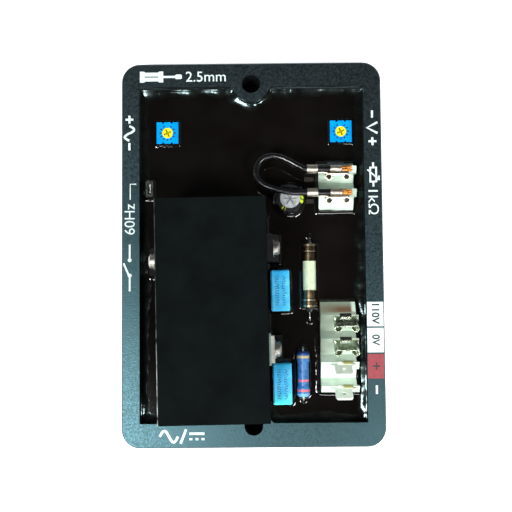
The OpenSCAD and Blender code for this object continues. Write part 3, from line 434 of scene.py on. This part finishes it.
# Case's cavity, from the source's values
corner_r = 0.6
corner_x = 41.95
corner_y = 62.9
boss_r = 6.8
boss_y = 64.5
fillet_r = 2.0
fillet_x = 8.22
fillet_y = 61.5
boss_angle = math.degrees(math.atan2(boss_y - fillet_y, fillet_x))


def wall_outline():
    """Clockwise outline of the cavity, round both bosses."""
    run = arc((-corner_x, corner_y), corner_r, 180, 90)
    run += arc((-fillet_x, fillet_y), fillet_r, 90, boss_angle)
    run += arc((0, boss_y), boss_r, 180 + boss_angle, 360 - boss_angle, 20)
    run += arc((fillet_x, fillet_y), fillet_r, 180 - boss_angle, 90)
    run += arc((corner_x, corner_y), corner_r, 90, 0)
    return run + [-p for p in run]


def fillets(name, outlines, rise, reach, unevenness, set_back=swell):
    """Fillets of one size along several outlines."""
    section = profile(name + "_section", rise, reach, set_back)
    lines = line(name, [(0, 0, 0), (1, 0, 0)])
    lines.data.splines.clear()
    for outline in outlines:
        points = [(p.x * MM, p.y * MM, resin_z * MM) for p in dense(outline)]
        add_run(lines.data, points, True, unevenness)
    lines.data.bevel_mode = "OBJECT"
    lines.data.bevel_object = section
    mesh = as_mesh(lines)
    bpy.data.objects.remove(section)
    return mesh


def wall_fillet():
    made = fillets("wall_fillet", [wall_outline()], *wall_size, set_back=0.0)
    return smooth(close_up(made), fillet_angle)


tall_parts = [
    "reservoir_sleeve",
    "upper_film_capacitor",
    "lower_film_capacitor",
    "power_terminal_block",
    "pot_terminal_block",
]
low_parts = [
    "upper_thyristor",
    "freewheel_diode",
    "insulating_pad",
    "stab_trimmer_housing",
    "volt_trimmer_housing",
    "link_shunt",
    "fuse_tube",
    "fuse_caps",
    "power_resistor",
]
leads = ["fuse_pigtails", "power_resistor_leads"]


def part_fillets():
    tall = two_sides("heatsink", 0, leg_below) + [footprint(name) for name in tall_parts]
    low = [footprint(name) for name in low_parts]
    # the leads' head ends come first
    thin = [outline for name in leads for outline in reversed(two_sides(name, 1, lead_below))]
    made = [
        fillets("tall_fillets", [rounded(o) for o in tall], *tall_size),
        fillets("low_fillets", [rounded(o) for o in low], *low_size),
        fillets("lead_fillets", [rounded(o) for o in thin], *lead_size),
    ]
    return smooth(close_up(join(made)), fillet_angle)


# Printed marks, drawn flat in millimetres along their reading direction, then turned and set on the case


def stroke(points, width):
    """A printed line of even width."""
    obj = line("stroke", [Vector((x, y, 0)) * MM for x, y in points])
    obj.data.bevel_depth = width / 2 * MM
    obj.data.bevel_resolution = 3
    obj.data.use_fill_caps = True
    return as_mesh(obj)


def plate(*outlines):
    """A printed shape, filled within its first outline and left open within any other."""
    runs = [[Vector((x, y, 0)) * MM for x, y in outline] for outline in outlines]
    obj = line("plate", runs[0], True)
    for run in runs[1:]:
        add_run(obj.data, run, True)
    obj.data.dimensions = "2D"
    obj.data.fill_mode = "BOTH"
    obj.data.extrude = print_t / 2 * MM
    return as_mesh(obj)


def oblong(x, y, w, h):
    """Corners of a rectangle about a middle point."""
    return [(x + sx * w / 2, y + sy * h / 2) for sx, sy in ((-1, -1), (1, -1), (1, 1), (-1, 1))]


def disc(x, y, d, sides=16):
    """A printed dot."""
    return plate([(p.x, p.y) for p in arc((x, y), d / 2, 0, 360 - 360 / sides, sides - 1)])


def numerals(text, x, height, width, weight=0.0):
    """Plain numerals and units, set from x on, to a height, a width and a weight."""
    bpy.ops.object.text_add()
    obj = bpy.context.object
    obj.data.body = text
    # any thickness will do here, because the scale below sets it
    obj.data.extrude = 0.05
    obj.data.offset = weight
    obj = as_mesh(obj)
    places = [v.co for v in obj.data.vertices]
    low = Vector([min(p[i] for p in places) for i in range(3)])
    high = Vector([max(p[i] for p in places) for i in range(3)])
    size = high - low
    wide = width / size.x * MM
    tall = height / size.y * MM
    obj.scale = (wide, tall, print_t * MM / size.z)
    obj.location = (x * MM - low.x * wide, -(low.y + high.y) / 2 * tall, 0)
    return settle(obj)


def lay(name, parts, centre, turn, ink, height=rim_z):
    """Joins a mark's parts, makes them as thin as ink, and sets them on the case."""
    obj = join(parts)
    thick = max(v.co.z for v in obj.data.vertices) - min(v.co.z for v in obj.data.vertices)
    obj.scale.z = print_t * MM / thick
    obj.rotation_euler.z = math.radians(turn)
    obj.location = Vector((centre[0], centre[1], height + print_t / 2 - print_sunk)) * MM
    settle(obj)
    return dress(smooth(close_up(obj)), name, ink)


def wave(x, width, height, steps=16):
    """One period of a sine, as points."""
    return [(x + width * s / steps, height * math.sin(2 * math.pi * s / steps)) for s in range(steps + 1)]


def cross(x, size, width):
    """A plus sign."""
    return [stroke([(x - size, 0), (x + size, 0)], width), stroke([(x, -size), (x, size)], width)]


# Terminal fields beside the power block, and the column of the signs in them
field_x = 45.75
field_w = 6.1
field_h = 9.1
upper_supply_y = -23.3
lower_supply_y = -33.0
positive_y = -42.7
negative_y = -51.4
sign_x = 45.9
# Numerals in the fields, set a little bolder
figure_h = 2.9
figure_weight = 0.03


def printed_marks(ink, red_ink, dark_ink):
    # screwdriver of own drawing and the width of its tip
    half = [(-16.3, -2.1), (-14.7, -2.1), (-14.3, -1.7), (-9.4, -1.7), (-9.0, -2.1), (-7.4, -2.1)]
    half += [(-7.4, -0.4), (-3.0, -0.4), (-2.5, -0.9), (-0.7, -0.9), (-0.3, -0.6)]
    tool = [plate(half + [(x, -y) for x, y in reversed(half)], oblong(-11.9, 0, 5.2, 0.4))]
    tool += [numerals("2.5mm", x=1.2, height=3.9, width=15.2)]
    lay("driver_mark", tool, (-26.0, 67.5), 0, ink)
    # stability trimmer: a wave between less and more
    stab = cross(5.2, 1.5, 0.8) + [stroke([(-6.6, 0), (-3.8, 0)], 0.8), stroke(wave(-2.9, 5.6, 1.8), 0.85)]
    lay("stability_mark", stab, (-46.3, 46.0), 90, ink)
    # voltage trimmer: volts between less and more
    volts = cross(5.2, 1.5, 0.8) + [stroke([(-6.6, 0), (-3.8, 0)], 0.8)]
    volts += [stroke([(-2.1, 2.0), (0, -2.0), (2.1, 2.0)], 0.85)]
    lay("voltage_mark", volts, (45.8, 47.2), -90, ink)
    # link: open contact and its mains frequency, with a line across to the link
    link = [stroke([(-14.6, 0), (-9.4, 0)], 0.7), disc(-8.7, 0, 1.5), disc(-2.9, 0, 1.5)]
    link += [stroke([(-2.2, 0), (3.0, 0)], 0.7), stroke([(-8.3, 0.5), (-4.0, 2.3)], 0.7)]
    link += [numerals("60Hz", x=6.8, height=3.9, width=11.6)]
    lay("link_mark", link, (-46.2, 0.6), 90, ink)
    lay("link_line", [stroke([(-2.9, 0.0), (3.0, 0.0), (3.0, -2.3)], 0.42)], (-46.0, 23.5), 90, ink)
    # remote potentiometer: its symbol and value
    pot = [stroke([(-9.9, 0), (-8.2, 0)], 0.7), stroke([(-2.4, 0), (-0.7, 0)], 0.7)]
    pot += [plate(oblong(-5.3, 0, 6.0, 2.9), oblong(-5.3, 0, 4.7, 1.6))]
    pot += [stroke([(-7.2, -2.2), (-3.4, 2.2)], 0.55), stroke([(-4.9, 2.1), (-3.3, 2.3), (-3.5, 0.8)], 0.55)]
    pot += [numerals("1kΩ", x=0.6, height=3.8, width=9.2)]
    lay("potentiometer_mark", pot, (45.9, 24.0), -90, ink)
    # terminal fields: two for the sensing supply, one for the positive side of the field
    for name, y, colour in (
        ("supply_field_upper", upper_supply_y, ink),
        ("supply_field_lower", lower_supply_y, ink),
        ("positive_field", positive_y, red_ink),
    ):
        lay(name, [plate(oblong(0, 0, field_w, field_h))], (field_x, y), 0, colour)
    proud = rim_z + print_t - print_sunk
    upper = [numerals("110V", x=-3.8, height=figure_h, width=7.6, weight=figure_weight)]
    lay("upper_supply_figure", upper, (sign_x, upper_supply_y), -90, dark_ink, proud)
    lower = [numerals("0V", x=-2.1, height=figure_h, width=4.2, weight=figure_weight)]
    lay("lower_supply_figure", lower, (sign_x, lower_supply_y), -90, dark_ink, proud)
    lay("positive_sign", cross(0, 1.4, 0.6), (sign_x, positive_y), -90, dark_ink, proud)
    lay("negative_sign", [stroke([(-1.6, 0), (1.6, 0)], 0.8)], (sign_x, negative_y), -90, ink)
    # alternating supply in, direct current out
    kind = [stroke(wave(-8.2, 6.8, 2.1), 0.95), stroke([(-0.5, -2.6), (1.6, 2.6)], 0.9)]
    kind += [stroke([(2.8, 1.0), (8.4, 1.0)], 0.9), stroke([(2.8, -1.0), (3.9, -1.0)], 0.8)]
    kind += [stroke([(5.1, -1.0), (6.1, -1.0)], 0.8), stroke([(7.3, -1.0), (8.4, -1.0)], 0.8)]
    lay("current_mark", kind, (-26.8, -68.1), 0, ink)


# Trimmer's dial: the radius of its dots, their size and sides, and their places in degrees
dial_r = 2.75
dot_d = 0.7
dot_sides = 10
dial_angles = range(-240, 61, 30)


def trimmer_dots(trimmer, ink):
    """Dial of dark dots round a trimmer's rotor."""
    low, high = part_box(trimmer + "_rotor")
    middle = (low + high) / 2 / MM
    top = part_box(trimmer + "_housing")[1].z / MM
    dots = []
    for degrees in dial_angles:
        angle = math.radians(degrees)
        dots.append(disc(dial_r * math.cos(angle), dial_r * math.sin(angle), dot_d, dot_sides))
    lay(trimmer + "_dots", dots, (middle.x, middle.y), 0, ink, top)


# Film capacitors' print: columns with the half height of their dashes, then the dashes and the ticks between
dash_columns = ((-1.3, 0.55), (1.2, 0.65))
dash_count = 13
dash_from = -5.3
dash_pitch = 0.87
dash_lean = 0.3
dash_w = 0.26
tick_half = 0.3
tick_w = 0.24
dash_turn = 90.8


def film_dashes(name, node, ink):
    """Two columns of plain slanted dashes on a film capacitor's top."""
    low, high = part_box(node)
    middle = (low + high) / 2 / MM
    marks = []
    for column, tall in dash_columns:
        for i in range(dash_count):
            lean = dash_lean * math.sin(5 * i + column)
            x = dash_from + dash_pitch * i
            marks.append(stroke([(x - lean, column - tall), (x + lean, column + tall)], dash_w))
            if i % 3:
                y = column + 2 * lean
                marks.append(stroke([(x - tick_half, y), (x + tick_half, y)], tick_w))
    lay(name, marks, (middle.x, middle.y), dash_turn, ink, high.z / MM)


# Finishes, each named for the real material

# Places on the terminal blocks and the fuse in millimetres, from the source's values
# where painted shadow lies on the power block's ridges, behind its sockets
socket_shadow_spots = ((34.65, -32.2), (34.65, -23.4))
blade_ridges = (-49.9, -41.1)
blade_x = 33.45
lip_inset = 2.5
ear_w = 1.0


def black_anodised():
    # Black anodised aluminium sheet: dead matt and almost without light, rubbed bare on its left bend, where
    # a painted highlight lies
    material, tree, shader, coords = worked(
        "black_anodised_aluminium",
        "#0a0d0d",
        "#0e1212",
        rough=(0.5, 0.6),
        patch=9.0,
        grain=0.35,
        relief=0.01,
        Specular_IOR_Level=0.0,
    )
    normal = add(tree, "ShaderNodeNewGeometry").outputs["Normal"]
    facing = add(tree, "ShaderNodeSeparateXYZ", (normal,)).outputs
    along = add(tree, "ShaderNodeSeparateXYZ", (coords,)).outputs["Y"]
    rub_glint_noise = add(tree, "ShaderNodeTexNoise", {"Vector": coords, "Scale": per_mm(3.0), "Detail": 5.0})
    # the rub, with a painted highlight: on the bend's left, turned upward, stronger to the foot, and in
    # patches
    leftward = (facing["X"], -0.5, -0.78)
    upward = (facing["Z"], 0.35, 0.62)
    footward = (along, -26 * MM, -50 * MM, 0.1, 1.0)
    patches = (rub_glint_noise, 0.3, 0.55)
    fades = (leftward, upward, footward, patches)
    paint(tree, shader, "#c8d2d2", *[add(tree, "ShaderNodeMapRange", fade) for fade in fades])
    return material


def banded_resistor():
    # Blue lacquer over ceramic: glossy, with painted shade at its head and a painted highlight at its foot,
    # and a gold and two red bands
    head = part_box("power_resistor")[1].y
    material, tree, shader, coords = worked(
        "blue_resistor_lacquer", "#1b4b86", "#3c76ac", rough=(0.28, 0.42), patch=1.0, grain=0.6, relief=0.03
    )
    along = add(tree, "ShaderNodeSeparateXYZ", (coords,)).outputs["Y"]
    # each band's middle below the head, its width and its colour; the first two are the painted shade at the
    # head and the painted highlight at the foot
    for from_head, wide, code in (
        (0.0, 2.6, "#16346e"),
        (17.0, 2.6, "#6ea6dc"),
        (2.1, 0.9, "#a8966a"),
        (10.9, 0.8, "#cc6070"),
        (14.6, 0.8, "#cc6070"),
    ):
        place = head - from_head * MM
        band = add(tree, "ShaderNodeMath", (along, place, wide / 2 * MM), operation="COMPARE")
        paint(tree, shader, code, band)
    return material


def printed_sleeve():
    # Shrunk PVC sleeve: satin black, with worn yellow-green print round its shoulder
    low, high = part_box("reservoir_sleeve")
    middle = (low + high) / 2
    material, tree, shader, coords = worked(
        "shrunk_pvc_sleeve", "#0b0c0e", "#15171a", rough=(0.25, 0.35), patch=2.5, grain=0.7, relief=0.02
    )
    centred = add(tree, "ShaderNodeMapping", {"Vector": coords, "Location": (-middle.x, -middle.y, 0)})
    axes = add(tree, "ShaderNodeSeparateXYZ", (centred,)).outputs
    angle = add(tree, "ShaderNodeMath", (axes["Y"], axes["X"]), operation="ARCTAN2")
    shoulder = add(tree, "ShaderNodeMapRange", (axes["Z"], high.z - 2.2 * MM, high.z - 2.1 * MM))
    broken = add(tree, "ShaderNodeTexNoise", {"Vector": coords, "Scale": per_mm(0.9), "Detail": 2.0})
    ragged = add(tree, "ShaderNodeMapRange", (broken, 0.42, 0.5))
    # each printed patch's direction and half width, in degrees
    for at, wide in ((-3, 22), (-128, 2.5), (-115, 2.5)):
        sector = (angle, math.radians(at), math.radians(wide))
        part = add(tree, "ShaderNodeMath", sector, operation="COMPARE")
        paint(tree, shader, "#abc422", part, shoulder, ragged)
    return material


def metal(name, dark, pale, rough, patch=1.6, grain=0.3, relief=0.006):
    """A bare or plated metal, its gloss uneven from handling and forming."""
    return worked(name, dark, pale, rough, patch, grain, relief, Metallic=1.0)[0]


def plastic(name, dark, pale, rough, patch=3.0, grain=0.4, relief=0.015, **values):
    """A moulded or dipped plastic with faint flow marks."""
    return worked(name, dark, pale, rough, patch, grain, relief, **values)[0]


def printed(name, dark, pale, patch=1.0):
    """Screen-printed ink or vinyl: flat, with a slightly uneven cover."""
    return plastic(name, dark, pale, rough=(0.45, 0.55), patch=patch, relief=0.01)


def grooved(node, code, *looks, **values):
    """A finish with painted shade in the grooves below a node's top."""
    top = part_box(node)[1].z
    material, tree, shader, coords = worked(*looks, **values)
    up = add(tree, "ShaderNodeSeparateXYZ", (coords,)).outputs["Z"]
    paint(tree, shader, code, add(tree, "ShaderNodeMapRange", (up, top - 0.1 * MM, top - 0.2 * MM)))
    return material


def fuse_brass():
    # Lacquered brass: golden brown, with painted highlights at the lip of each outer cup and at the tube's
    # ends, a painted shade line just inside each lip, grey with solder past it
    low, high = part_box("fuse_tube")
    half = (high.y - low.y) / 2
    material, tree, shader, coords = worked(
        "fuse_brass",
        "#6f604c",
        "#947f62",
        rough=(0.22, 0.3),
        patch=3.0,
        grain=0.6,
        relief=0.004,
        Metallic=1.0,
    )
    along = add(tree, "ShaderNodeSeparateXYZ", (coords,)).outputs["Y"]
    offset = add(tree, "ShaderNodeMath", (along, low.y + half), operation="SUBTRACT")
    reach = add(tree, "ShaderNodeMath", (offset,), operation="ABSOLUTE")
    # each painted ring's middle inside the tube's end, its half width and its colour: highlight at the lip,
    # shade line inward of it, highlight at the end
    for inset, wide, code in (
        (lip_inset - 0.2, 0.2, "#efe2c6"),
        (lip_inset + 0.15, 0.15, "#33291c"),
        (0.0, 0.3, "#e2d3b2"),
    ):
        ring = (reach, half - inset * MM, wide * MM)
        paint(tree, shader, code, add(tree, "ShaderNodeMath", ring, operation="COMPARE"))
    solder = add(tree, "ShaderNodeMapRange", (reach, half + 0.5 * MM, half + 0.6 * MM))
    paint(tree, shader, "#8f928e", solder)
    return material


def natural_nylon(node, dark, pale, shade_depth, shadow_spots=()):
    # Natural nylon: milky and faintly green, with painted shade to the head and left and a brownish painted
    # shade across its head
    low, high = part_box(node)
    size = high - low
    corner = high.x - ear_w * MM
    material, tree, shader, coords = worked(
        node + "_nylon", dark, pale, rough=(0.35, 0.45), patch=5.0, grain=0.5, relief=0.02
    )
    axes = add(tree, "ShaderNodeSeparateXYZ", (coords,)).outputs
    normal = add(tree, "ShaderNodeNewGeometry").outputs["Normal"]
    facing = add(tree, "ShaderNodeSeparateXYZ", (normal,)).outputs
    # painted shade: more to the head, and most on the upper slopes at the left
    headward = (axes["Y"], low.y + size.y * 0.25, high.y, 0.0, 0.8 * shade_depth)
    upper_part = (axes["Y"], low.y + size.y * 0.36, low.y + size.y * 0.44)
    leftward = (axes["X"], low.x + size.x * 0.6, low.x, 0.0, 0.85 * shade_depth)
    slopes = (facing["Y"], 0.0, -0.2, 0.35, 1.0)
    # brownish painted shade across the head, faded at both of its edges and stronger to the right
    band_foot = (axes["Y"], high.y - 4.4 * MM, high.y - 3.6 * MM)
    band_head = (axes["Y"], high.y - 0.4 * MM, high.y - 2.4 * MM)
    rightward = (axes["X"], low.x, low.x + size.x * 0.5, 0.35 * shade_depth, 0.95 * shade_depth)
    # painted highlight on its head's right corner
    head_end = (axes["Y"], high.y - 4.2 * MM, high.y - 3.4 * MM)
    right_end = (axes["X"], corner - 1.9 * MM, corner - 1.1 * MM)
    for code, *fades in (
        ("#6a7862", headward),
        ("#4a5644", upper_part, leftward, slopes),
        ("#684c36", band_foot, band_head, rightward),
        ("#cfe6d2", head_end, right_end),
    ):
        paint(tree, shader, code, *[add(tree, "ShaderNodeMapRange", fade) for fade in fades])
    # painted shadow on the ridges, behind the sockets, where their openings look dark
    for x, y in shadow_spots:
        across = add(tree, "ShaderNodeMath", (axes["X"], x * MM, 2.2 * MM), operation="COMPARE")
        along = add(tree, "ShaderNodeMath", (axes["Y"], y * MM, 0.5 * MM), operation="COMPARE")
        paint(tree, shader, "#0c0a07", across, along)
    return material


def blade_tin():
    # Dull tin on the blades: almost as pale as the nylon, with a painted olive reflection on the right of
    # each bend
    material, tree, shader, coords = worked(
        "dull_tinned_brass",
        "#dae8d8",
        "#f0faee",
        rough=(0.45, 0.55),
        patch=1.6,
        grain=0.3,
        relief=0.006,
        Metallic=0.05,
    )
    axes = add(tree, "ShaderNodeSeparateXYZ", (coords,)).outputs
    right = add(tree, "ShaderNodeMapRange", (axes["X"], (blade_x - 1.6) * MM, (blade_x + 0.4) * MM))
    # painted reflection of the dark surroundings in each bend, olive, to its right
    for y in blade_ridges:
        bend = add(tree, "ShaderNodeMath", (axes["Y"], y * MM, 0.7 * MM), operation="COMPARE")
        paint(tree, shader, "#85854a", bend, right)
    return material


def film_epoxy(node, head, foot):
    # Dipped blue epoxy: glossy, slightly rippled, with painted shade at its head and a painted highlight at
    # its foot
    low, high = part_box(node)
    fade = 5 * MM
    material, tree, shader, coords = worked(
        node + "_epoxy", "#3cb0ea", "#58c8f6", rough=(0.22, 0.32), patch=3.0, grain=1.2, relief=0.03
    )
    along = add(tree, "ShaderNodeSeparateXYZ", (coords,)).outputs["Y"]
    paint(tree, shader, head, add(tree, "ShaderNodeMapRange", (along, high.y - fade, high.y)))
    paint(tree, shader, foot, add(tree, "ShaderNodeMapRange", (along, low.y + fade, low.y)))
    return material


# Glass-filled moulding with a fine spark-eroded grain: charcoal, with a cool broad sheen
case_moulding = plastic(
    "spark_grained_moulding",
    "#090808",
    "#201d1e",
    rough=(0.3, 0.46),
    patch=0.8,
    grain=0.6,
    relief=0.065,
    Specular_IOR_Level=0.84,
    Specular_Tint=(0.4, 0.87, 1.0, 1.0),
)
# Cured epoxy's index of refraction
resin_ior = 1.55
# Poured epoxy: almost black brown, mirror smooth, with slow waves left by curing
resin = plastic(
    "poured_epoxy_resin",
    "#090706",
    "#0f0d0b",
    rough=(0.04, 0.06),
    patch=14.0,
    grain=14.0,
    relief=0.1,
    IOR=resin_ior,
)
# Where the same resin crept up the parts it set uneven: broken highlights, dull in places
crept_resin = plastic(
    "crept_epoxy_resin",
    "#090706",
    "#0f0d0b",
    rough=(0.04, 0.1),
    patch=5.0,
    grain=5.0,
    relief=0.38,
    IOR=resin_ior,
)
# Along the case's wall it set with a faint bloom: soft, spread highlights
hazy_resin = plastic(
    "bloomed_epoxy_resin",
    "#090a09",
    "#0f110f",
    rough=(0.08, 0.2),
    patch=5.0,
    grain=5.0,
    relief=0.3,
    IOR=resin_ior,
    Specular_Tint=(0.72, 1.0, 1.0, 1.0),
)
# Epoxy-coated laminate: dull green under the resin
laminate = plastic("glass_epoxy_laminate", "#1f4a2c", "#2f6a3c", rough=(0.4, 0.5), patch=1.2)
# Transfer-moulded epoxy: satin black with a fine matt grain
moulding = plastic(
    "moulding_epoxy", "#0b0c0d", "#131416", rough=(0.5, 0.6), patch=2.0, Specular_IOR_Level=0.3
)
# The same moulding, set deeper black and with less sheen
darker_moulding = plastic(
    "darker_moulding_epoxy", "#050605", "#0a0b0a", rough=(0.4, 0.5), patch=2.0, Specular_IOR_Level=0.15
)
# Tinned copper and brass: pale, soft-edged reflections
tinned = metal("matt_tinned_brass", "#c4c6bc", "#e6e8e0", rough=(0.36, 0.5))
# Bright tin over formed brass: darker, with clear streaks of what stands around
bright_tin = metal("bright_tinned_brass", "#a8b09c", "#d8e2ce", rough=(0.2, 0.34))
# Older tin on the jumper's receptacles: warmer and greyer, its highlights spread wide
grey_tin = metal("dulled_tinned_brass", "#aaa598", "#d2ccbe", rough=(0.32, 0.44))
# Alumina: chalk white with a faint warm fleck
ceramic = plastic("white_ceramic", "#a9b998", "#c0ceb0", rough=(0.3, 0.45), patch=1.5)
# Mica-filled sheet: dull, between white and grey-green
pad = plastic("mica_filled_pad", "#74887f", "#8c9e97", rough=(0.5, 0.6), patch=1.2)
# Zinc on steel, handled and uneven: its highlights are broken and a little warm
zinc = metal("zinc_plated_steel", "#8e8b84", "#c0bdb6", rough=(0.36, 0.5), patch=0.8, grain=0.6, relief=0.05)
# Blue diallyl moulding: clean satin blue
trimmer_plastic = plastic(
    "trimmer_moulding", "#0084d4", "#0098e6", rough=(0.3, 0.4), patch=2.0, Specular_IOR_Level=0.08
)
# Yellow nylon rotor: soft gloss, its cross slot darkened with painted shade
rotor_plastic = grooved(
    "stab_trimmer_rotor",
    "#a8940f",
    "rotor_nylon",
    "#f2da10",
    "#fdf02a",
    rough=(0.3, 0.4),
    patch=1.0,
    grain=0.4,
    relief=0.015,
    Specular_IOR_Level=0.3,
)
# Spring brass of the wipers: clear yellow metal
brass = metal("spring_brass", "#b08a3e", "#d9b866", rough=(0.25, 0.35))
# Glass-filled nylon link: black with a slight grey bloom
link_nylon = plastic(
    "black_link_nylon", "#121413", "#4c504d", rough=(0.12, 0.3), patch=0.6, grain=0.5, relief=0.1
)
# Drawn aluminium can: light grey, softly brushed, the score lines of its vent darkened with painted shade
aluminium = grooved(
    "reservoir_can",
    "#7a7d7f",
    "drawn_aluminium",
    "#9da1a3",
    "#ccd0d2",
    rough=(0.42, 0.55),
    patch=1.2,
    grain=0.25,
    relief=0.006,
    Metallic=1.0,
)
# Seal rubber: dull black
rubber = plastic("seal_rubber", "#161616", "#242424", rough=(0.6, 0.7), patch=1.0)
# Flexible PVC: black with a long soft highlight
pvc = plastic("flexible_pvc", "#060708", "#0c0d0f", rough=(0.19, 0.27), grain=0.9, relief=0.02)
# Bare copper: orange, a little dulled
copper = metal("bare_copper", "#c8782e", "#f4b060", rough=(0.25, 0.4), patch=0.8)
# Small resistors' lacquer: tan, hidden by the resin
small_body = plastic("tan_resistor_body", "#a48d64", "#c4ac80", rough=(0.35, 0.45), patch=1.0)
# Inks: a cool white, a deep red, near black, and two blues for the trimmers and the film capacitors
white_ink = printed("white_print", "#c2d6d3", "#d8eae7")
red_ink = printed("red_print", "#7a242d", "#8b2e37", patch=1.2)
dark_ink = printed("dark_print", "#121a1b", "#1e2829")
blue_ink = printed("dark_blue_print", "#06183a", "#0c2850", patch=0.8)
faded_ink = printed("faded_blue_print", "#174d7c", "#215f92", patch=0.8)

finishes = {
    case_moulding: ["case"],
    laminate: ["circuit_board"],
    resin: ["potting_resin"],
    black_anodised(): ["heatsink"],
    moulding: ["upper_thyristor", "control_chip", "board_diodes"],
    darker_moulding: ["lower_thyristor", "freewheel_diode"],
    tinned: [
        "upper_thyristor_leads",
        "freewheel_diode_leads",
        "lower_thyristor_frame",
        "stab_trimmer_pins",
        "volt_trimmer_pins",
        "link_pins",
        "reservoir_leads",
        "film_capacitor_leads",
        "power_resistor_leads",
        "pot_tabs",
        "control_chip_pins",
        "board_resistor_leads",
        "board_diode_leads",
        "fuse_element",
        "link_shunt_contact",
    ],
    bright_tin: ["supply_sockets"],
    grey_tin: ["jumper_upper_receptacle", "jumper_lower_receptacle"],
    blade_tin(): ["excitation_tabs"],
    pad: ["insulating_pad"],
    ceramic: ["fuse_tube", "stab_trimmer_base", "volt_trimmer_base"],
    zinc: ["device_screws", "device_washers"],
    trimmer_plastic: ["stab_trimmer_housing", "volt_trimmer_housing"],
    rotor_plastic: ["stab_trimmer_rotor", "volt_trimmer_rotor"],
    brass: ["stab_trimmer_wiper", "volt_trimmer_wiper"],
    link_nylon: ["link_header", "link_shunt"],
    aluminium: ["reservoir_can"],
    printed_sleeve(): ["reservoir_sleeve"],
    rubber: ["reservoir_seal"],
    # each film capacitor's two colours: painted shade at its head, painted highlight at its foot
    film_epoxy("upper_film_capacitor", "#34b0ea", "#4cbeee"): ["upper_film_capacitor"],
    film_epoxy("lower_film_capacitor", "#1a88ae", "#52ecf2"): ["lower_film_capacitor"],
    fuse_brass(): ["fuse_caps", "fuse_pigtails"],
    banded_resistor(): ["power_resistor"],
    # the same nylon on both blocks, set darker on the pot block as painted shade, with fainter painted shade
    # marks
    natural_nylon("pot_terminal_block", "#a6bcaa", "#bfd3c3", 0.3): ["pot_terminal_block"],
    natural_nylon("power_terminal_block", "#bacfbd", "#d6e8d8", 1.0, socket_shadow_spots): [
        "power_terminal_block"
    ],
    pvc: ["jumper_wire"],
    copper: ["jumper_strands"],
    small_body: ["board_resistors"],
}
for material, names in finishes.items():
    for name in names:
        nodes[name].data.materials.clear()
        nodes[name].data.materials.append(material)


# The pieces that the solids don't show

strands = dress(copper_strands(), "copper_strands", copper)
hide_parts("jumper_strands")
lead = dress(jumper_lead(), "jumper_lead", pvc)
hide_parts("jumper_wire")
dress(wall_fillet(), "wall_fillet", hazy_resin)
dress(part_fillets(), "part_fillets", crept_resin)
printed_marks(white_ink, red_ink, dark_ink)
for trimmer in ("stab", "volt"):
    trimmer_dots(trimmer + "_trimmer", blue_ink)
for place in ("upper", "lower"):
    film_dashes(place + "_film_print", place + "_film_capacitor", faded_ink)


# Studio: pale floor, dark ceiling, pale surround, softboxes over the lower corners, strips at foot and sides

# Half of what the case shades on the floor, and the width of the shade's edge, in millimetres
shade_x = 46
shade_y = 69
shade_edge = 2
# Floor's glow, and its side in metres
floor_glow = 0.8
floor_side = 6
# Surround: pale below one height and dark above another, and its strength in each
pale_to = 0.45
dark_from = 0.75
pale_strength = 0.25
dark_strength = 0.02


def pale_floor():
    # Matt white board, lit a little from within as a light table is, but dark and without glow where the
    # case covers it: painted shadow
    material, tree, shader, coords = surface(
        "pale_floor_board", Base_Color=linear("#050606"), Roughness=0.9, Emission_Color=linear("#ffffff")
    )
    axes = add(tree, "ShaderNodeSeparateXYZ", (coords,)).outputs
    past = []
    for axis, half in (("X", shade_x), ("Y", shade_y)):
        size = add(tree, "ShaderNodeMath", (axes[axis],), operation="ABSOLUTE")
        past.append(add(tree, "ShaderNodeMapRange", (size, half * MM, (half + shade_edge) * MM)))
    open_floor = add(tree, "ShaderNodeMath", past, operation="MAXIMUM")
    paint(tree, shader, "#f4f5f5", open_floor)
    glow = add(tree, "ShaderNodeMapRange", (open_floor, 0.0, 1.0, 0.0, floor_glow))
    tree.links.new(glow.outputs[0], shader.inputs["Emission Strength"])
    bpy.ops.mesh.primitive_plane_add(size=floor_side, location=(0, 0, 0))
    floor = bpy.context.object
    floor.name = "pale_floor"
    floor.data.materials.append(material)


def softbox(name, place, size, watts, mirrored=True):
    """A white rectangular lamp that faces the regulator, given its place, size and power in watts."""
    place = Vector(place)
    aim = Vector((0, 0, resin_z * MM))
    turn = (aim - place).to_track_quat("-Z", "Y").to_euler()
    bpy.ops.object.light_add(type="AREA", location=place, rotation=turn)
    lamp = bpy.context.object
    lamp.name = name
    lamp.visible_glossy = mirrored
    lamp.data.shape = "RECTANGLE"
    lamp.data.size, lamp.data.size_y = size
    lamp.data.energy = watts


def surround():
    world = bpy.data.worlds.new("surround")
    bpy.context.scene.world = world
    world.use_nodes = True
    tree = world.node_tree
    tree.nodes.clear()
    toward = add(tree, "ShaderNodeTexCoord").outputs["Generated"]
    height = add(tree, "ShaderNodeSeparateXYZ", (toward,)).outputs["Z"]
    limits = (height, pale_to, dark_from, pale_strength, dark_strength)
    fade = add(tree, "ShaderNodeMapRange", limits, interpolation_type="SMOOTHSTEP")
    sky = add(tree, "ShaderNodeBackground", {"Color": linear("#f2fafb"), "Strength": fade})
    add(tree, "ShaderNodeOutputWorld", {"Surface": sky})


pale_floor()
surround()
softbox("key_softbox", place=(-0.235, -0.2, 0.6), size=(0.09, 0.26), watts=4.6)
softbox("right_softbox", place=(0.24, -0.25, 0.6), size=(0.1, 0.1), watts=1.85)
softbox("foot_strip", place=(0.06, -0.5, 0.36), size=(0.3, 0.04), watts=1.2)
softbox("right_strip", place=(0.5, -0.1, 0.36), size=(0.45, 0.3), watts=2.6, mirrored=False)
softbox("left_strip", place=(-0.5, 0.05, 0.3), size=(0.04, 0.2), watts=0.12)
bpy.context.scene.view_settings.view_transform = "Standard"
